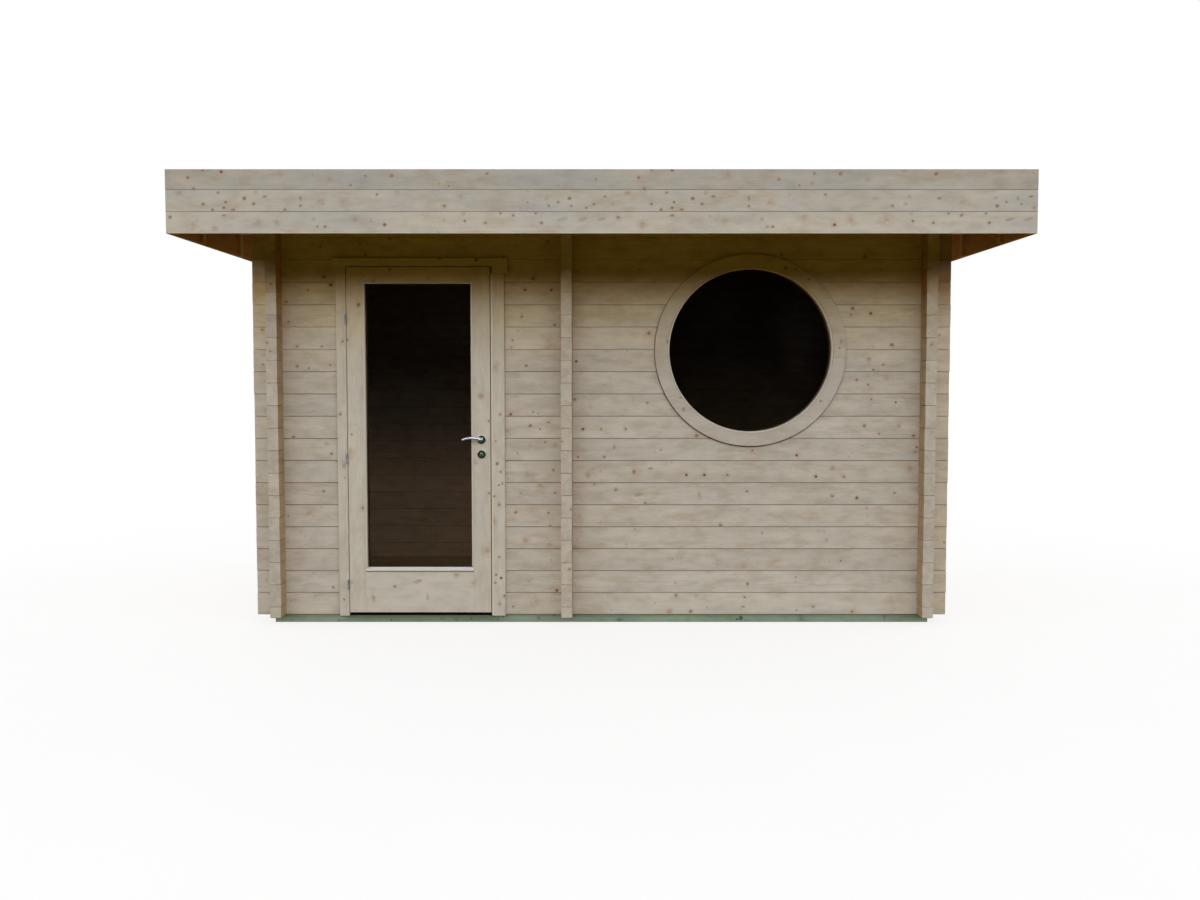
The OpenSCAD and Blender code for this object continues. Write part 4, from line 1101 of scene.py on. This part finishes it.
# ------------------------------------------------------------------ door leaf
for node, name, grain in (("door_stiles", "leaf_stiles", 2), ("door_rails", "leaf_rails", 0)):
    p = Piece(name)
    for i, bm in enumerate(solids(node)):
        # the stiles' outer edges take the lighter wood: unweathered, and painted light against the door gaps' shade
        edge = (lambda f: 1 if abs(f.normal.x) > 0.9 and not -1.5 < f.calc_center_median().x < -0.7 else 0)
        board(p, bm, grain, f"{node}{i}", r=0.0014, per_metre=1.5, size=0.008, placed=KNOTS_DOOR,
              face_mat=edge if node == "door_stiles" else None)
    p.make(["leaf", "fresh_lit"], "entrance_door", node, "leaf_timber")

p = Piece("leaf_glazing_beads")
for i, bm in enumerate(solids("door_glass_beads")):
    lo, hi = box_of(bm)
    # the sloped top of the sill takes a lighter, glossier wood as a painted highlight; the beads behind the glass take
    # the dark wood as painted shade
    sill = (lambda f: 2 if f.normal.z > 0.6 and f.normal.y < -0.2 else 0)
    board(p, bm, 2 if hi.z - lo.z > hi.x - lo.x else 0, f"bead{i}", r=0.0022, per_metre=0.7, size=0.004, segments=3,
          mat=1 if lo.y > -0.895 else 0, face_mat=sill if lo.y < -0.925 and hi.z < 0.36 else None)
# a dark strip beneath the sill's nose: painted shadow
lo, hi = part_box("door_glass")
board(p, block((lo.x + 0.001, -0.9232, 0.3140), (hi.x - 0.001, -0.9221, 0.3188)), 0, "drip", r=0.0003, mat=1)
p.make(["bead", "dark_bead", "sill"], "entrance_door", "door_glass_beads", "bead_timber")

for name, mat in (("door_glass", "glass"), ("round_window_glass", "dark_glass")):
    o = NODES[name]
    o.data.materials.clear()
    o.data.materials.append(M[mat])
o = NODES["strike_plate"]
o.data.materials.clear()
o.data.materials.append(M["hinge"])

# ------------------------------------------------------------------ hinges
HX, HY = -1.542, -0.931
for node, name, body, upper in (("door_hinges_frame", "hinge_frame_halves", "cabin", False),
                                ("door_hinges_leaf", "hinge_leaf_halves", "entrance_door", True)):
    p = Piece(name)
    for z in (0.190, 0.959, 1.801):
        zc = 0.047 + z
        s = 1 if upper else -1
        place = lambda r, a, h, zc=zc, s=s: (HX + r * math.cos(a), HY + r * math.sin(a), zc + s * h)
        prof = [(0.0001, 0.0006), (0.0054, 0.0006), (0.0060, 0.0012), (0.0060, 0.0250), (0.0056, 0.0262), (0.0060, 0.0272),
                (0.0060, 0.0288), (0.0052, 0.0300), (0.0034, 0.0308), (0.0001, 0.0310)]
        plain(p, lathe(prof, 28, place), mat=0)
        if upper:
            a, b = (HX + 0.0008, HY + 0.002, zc + 0.003), (HX + 0.0048, -0.9205, zc + 0.029)
        else:
            a, b = (HX - 0.0048, HY + 0.002, zc - 0.029), (HX - 0.0008, -0.9175, zc - 0.003)
        plain(p, rounded(block(a, b), 0.0008, 2), mat=0)
    p.make("hinge", body, node, "hardware_steel")

# ------------------------------------------------------------------ roses, cylinder and levers
LX, LZ, LOCK = -0.727, 0.047 + 1.075, 0.089
Y0, Y1 = -0.922, -0.866
p = Piece("round_roses")
q = Piece("lock_cylinder")
for z, hole in ((LZ, 0.0092), (LZ - LOCK, 0.0089)):
    for y, s in ((Y0, -1), (Y1, 1)):
        place = lambda r, a, h, y=y, s=s, z=z: (LX + r * math.cos(a), y + s * h, z + r * math.sin(a))
        prof = [(0.0258, 0.0), (0.0260, 0.0012), (0.0260, 0.0066), (0.0258, 0.0074), (0.0254, 0.0078), (0.0248, 0.0080),
                (0.0180, 0.0080), (0.0120, 0.0080), (hole + 0.0006, 0.0080), (hole + 0.0002, 0.0076), (hole, 0.0070), (hole, 0.0)]
        plain(p, lathe(prof, 72, place))
z = LZ - LOCK
for y, s in ((Y0, -1), (Y1, 1)):
    place = lambda r, a, h, y=y, s=s, z=z: (LX + r * math.cos(a), y + s * h, z + r * math.sin(a))
    prof = [(0.0086, 0.0), (0.0086, 0.0100), (0.0084, 0.0105), (0.0080, 0.0107), (0.0060, 0.0107), (0.0030, 0.0107), (0.0001, 0.0107)]
    plain(q, lathe(prof, 48, place))
    # a black block across the plug stands for the keyway slot's shade
    a = (LX - 0.0008, min(y, y + s * 0.01074), z - 0.0040)
    b = (LX + 0.0008, max(y, y + s * 0.01074), z + 0.0040)
    plain(q, rounded(block(a, b), 0.0002, 1), mat=1)
p.make("steel", "entrance_door", "door_rosettes", "polished_steel")
q.make(["cylinder", "dark"], "entrance_door", "lock_cylinders", "hardware_steel")

p = Piece("lever_handles")
for y, s in ((Y0, -1), (Y1, 1)):
    # spindle neck, then the arched grip in one sweep
    place = lambda r, a, h, y=y, s=s: (LX + r * math.cos(a), y + s * h, LZ + r * math.sin(a))
    prof = [(0.0001, 0.001), (0.0080, 0.001), (0.0080, 0.012), (0.0078, 0.020), (0.0077, 0.032), (0.0079, 0.0400)]
    plain(p, lathe(prof, 40, place))
    bm = bmesh.new()
    rings, R, n_seg, m = [], 0.150, 40, 28
    yc = y + s * 0.046
    for i in range(n_seg + 1):
        w = i / n_seg
        ang = math.radians(68 + 46 * w)
        cx = LX - R * math.sin(math.radians(22)) + R * math.cos(ang)
        cz = LZ - R * math.cos(math.radians(22)) + R * math.sin(ang)
        tz = Vector((math.cos(ang), 0, math.sin(ang)))
        rz = 0.0086 - 0.0010 * w                     # half height, thinner at the tip
        ry = 0.0079 - 0.0021 * math.sin(math.pi * min(1, w * 1.1)) ** 1.0 * 0.6
        if w > 0.9:                                   # rounded tip
            k = math.sqrt(max(0.0, 1 - ((w - 0.9) / 0.1) ** 2))
            rz, ry = max(0.0002, rz * k), max(0.0002, ry * k)
        if w < 0.03:
            k = 0.94 + 2 * w
            rz, ry = rz * k, ry * k
        row = []
        for j in range(m):
            b = 2 * math.pi * j / m
            row.append(bm.verts.new(Vector((cx, yc, cz)) + tz * (rz * math.cos(b)) + Vector((0, 1, 0)) * (ry * math.sin(b))))
        rings.append(row)
    for a, b in zip(rings, rings[1:]):
        for j in range(m):
            bm.faces.new((a[j], a[(j + 1) % m], b[(j + 1) % m], b[j]))
    bm.faces.new(rings[0])
    bm.faces.new(rings[-1][::-1])
    bmesh.ops.recalc_face_normals(bm, faces=bm.faces[:])
    for f in bm.faces:
        f.smooth = len(f.verts) < 5
    plain(p, bm)
    # rounded knuckle where neck and grip meet
    prof = [(0.0001, 0.0376), (0.0078, 0.0376), (0.0080, 0.0420), (0.0080, 0.0480), (0.0074, 0.0510), (0.0058, 0.0530),
            (0.0034, 0.0539), (0.0001, 0.0540)]
    prof = [(r, min(h, 0.0499) if h > 0.05 else h) for r, h in prof[:4]] + [(0.0072, 0.0490), (0.0050, 0.0497), (0.0001, 0.0499)]
    plain(p, lathe(prof, 40, place))
p.make("lever", "door_handle", "door_levers", "polished_steel")

# ------------------------------------------------------------------ stage: floor, sky, light
me = bpy.data.meshes.new("studio_floor")
S = 160.0
me.from_pydata([(-S, -S, 0), (S, -S, 0), (S, S, 0), (-S, S, 0)], [], [(0, 1, 2, 3)])
floor = bpy.data.objects.new("studio_floor", me)
bpy.context.scene.collection.objects.link(floor)
fm, t = material("pale_floor")
place = t.node("ShaderNodeTexCoord").outputs["Object"]
soft = t.noise(place, 0.7, 3.0)
pale = t.mix(t.ease(soft, 0.3, 0.7), (0.80, 0.725, 0.60), (0.815, 0.74, 0.61))
d = t.node("ShaderNodeBsdfDiffuse")
t.put(d.inputs[0], pale)
glow = t.node("ShaderNodeEmission")
glow.inputs["Color"].default_value = (1, 1, 1, 1)
glow.inputs["Strength"].default_value = 1.24
m = t.node("ShaderNodeMixShader")
m.inputs[0].default_value = 0.6
t.nt.links.new(d.outputs[0], m.inputs[1])
t.nt.links.new(glow.outputs[0], m.inputs[2])
out = t.node("ShaderNodeOutputMaterial")
t.nt.links.new(m.outputs[0], out.inputs[0])
me.materials.append(fm)
# the floor shows and takes shadows, but the light that comes up from below is the sky's own lower half
floor.visible_diffuse = floor.visible_glossy = floor.visible_transmission = floor.visible_shadow = False

world = bpy.data.worlds.new("soft_studio")
bpy.context.scene.world = world
world.use_nodes = True
t = Tree(world.node_tree)
dx, dy, dz = t.split(t.node("ShaderNodeTexCoord").outputs["Generated"])
# like four soft boxes round the building: the light goes by the height angle seen square to each side
side = t.math("MAXIMUM", t.math("ABSOLUTE", dx), t.math("ABSOLUTE", dy))
h = t.math("MULTIPLY_ADD", t.math("ARCTAN2", dz, t.math("MAXIMUM", side, 0.0001)), 1 / math.pi, 0.5)


def at(deg):
    return 0.5 + deg / 180


SKY = (0.745, 0.823, 1.0)
LEVEL = 3.50


def sky(k, c=SKY):
    return tuple(k * x for x in c)


def low(r, g, b):
    return (r / LEVEL, g / LEVEL, b / LEVEL)


light = t.ramp(h, [
    (0.0, low(0.125, 0.088, 0.010)),
    (at(-30), low(0.125, 0.088, 0.010)),
    (at(-20), low(0.075, 0.095, 0.020)),
    (at(-8), low(0.050, 0.080, 0.025)),
    (at(-3), low(0.025, 0.036, 0.018)),
    (at(0), low(0.006, 0.006, 0.003)),
    (at(8), low(0.010, 0.009, 0.005)),
    (at(10.5), sky(0.30)),
    (at(12.5), sky(0.95)),
    (at(17), sky(1.10)),
    (at(24), sky(1.12)),
    (at(29), sky(0.60)),
    (at(36), sky(0.46)),
    (at(39), sky(0.27)),
    (at(51), sky(0.26)),
    (at(55), sky(0.05)),
    (1.0, sky(0.05)),
])
behind = t.node("ShaderNodeBackground")
t.put(behind.inputs["Color"], light)
behind.inputs["Strength"].default_value = LEVEL
seen = t.node("ShaderNodeBackground")
seen.inputs["Color"].default_value = (1, 1, 1, 1)
seen.inputs["Strength"].default_value = 1.0
ray = t.node("ShaderNodeLightPath").outputs["Is Camera Ray"]
m = t.node("ShaderNodeMixShader")
t.nt.links.new(ray, m.inputs[0])
t.nt.links.new(behind.outputs[0], m.inputs[1])
t.nt.links.new(seen.outputs[0], m.inputs[2])
out = t.node("ShaderNodeOutputWorld")
t.nt.links.new(m.outputs[0], out.inputs[0])
bpy.context.scene.view_settings.view_transform = "Standard"
bpy.context.scene.view_settings.look = "None"
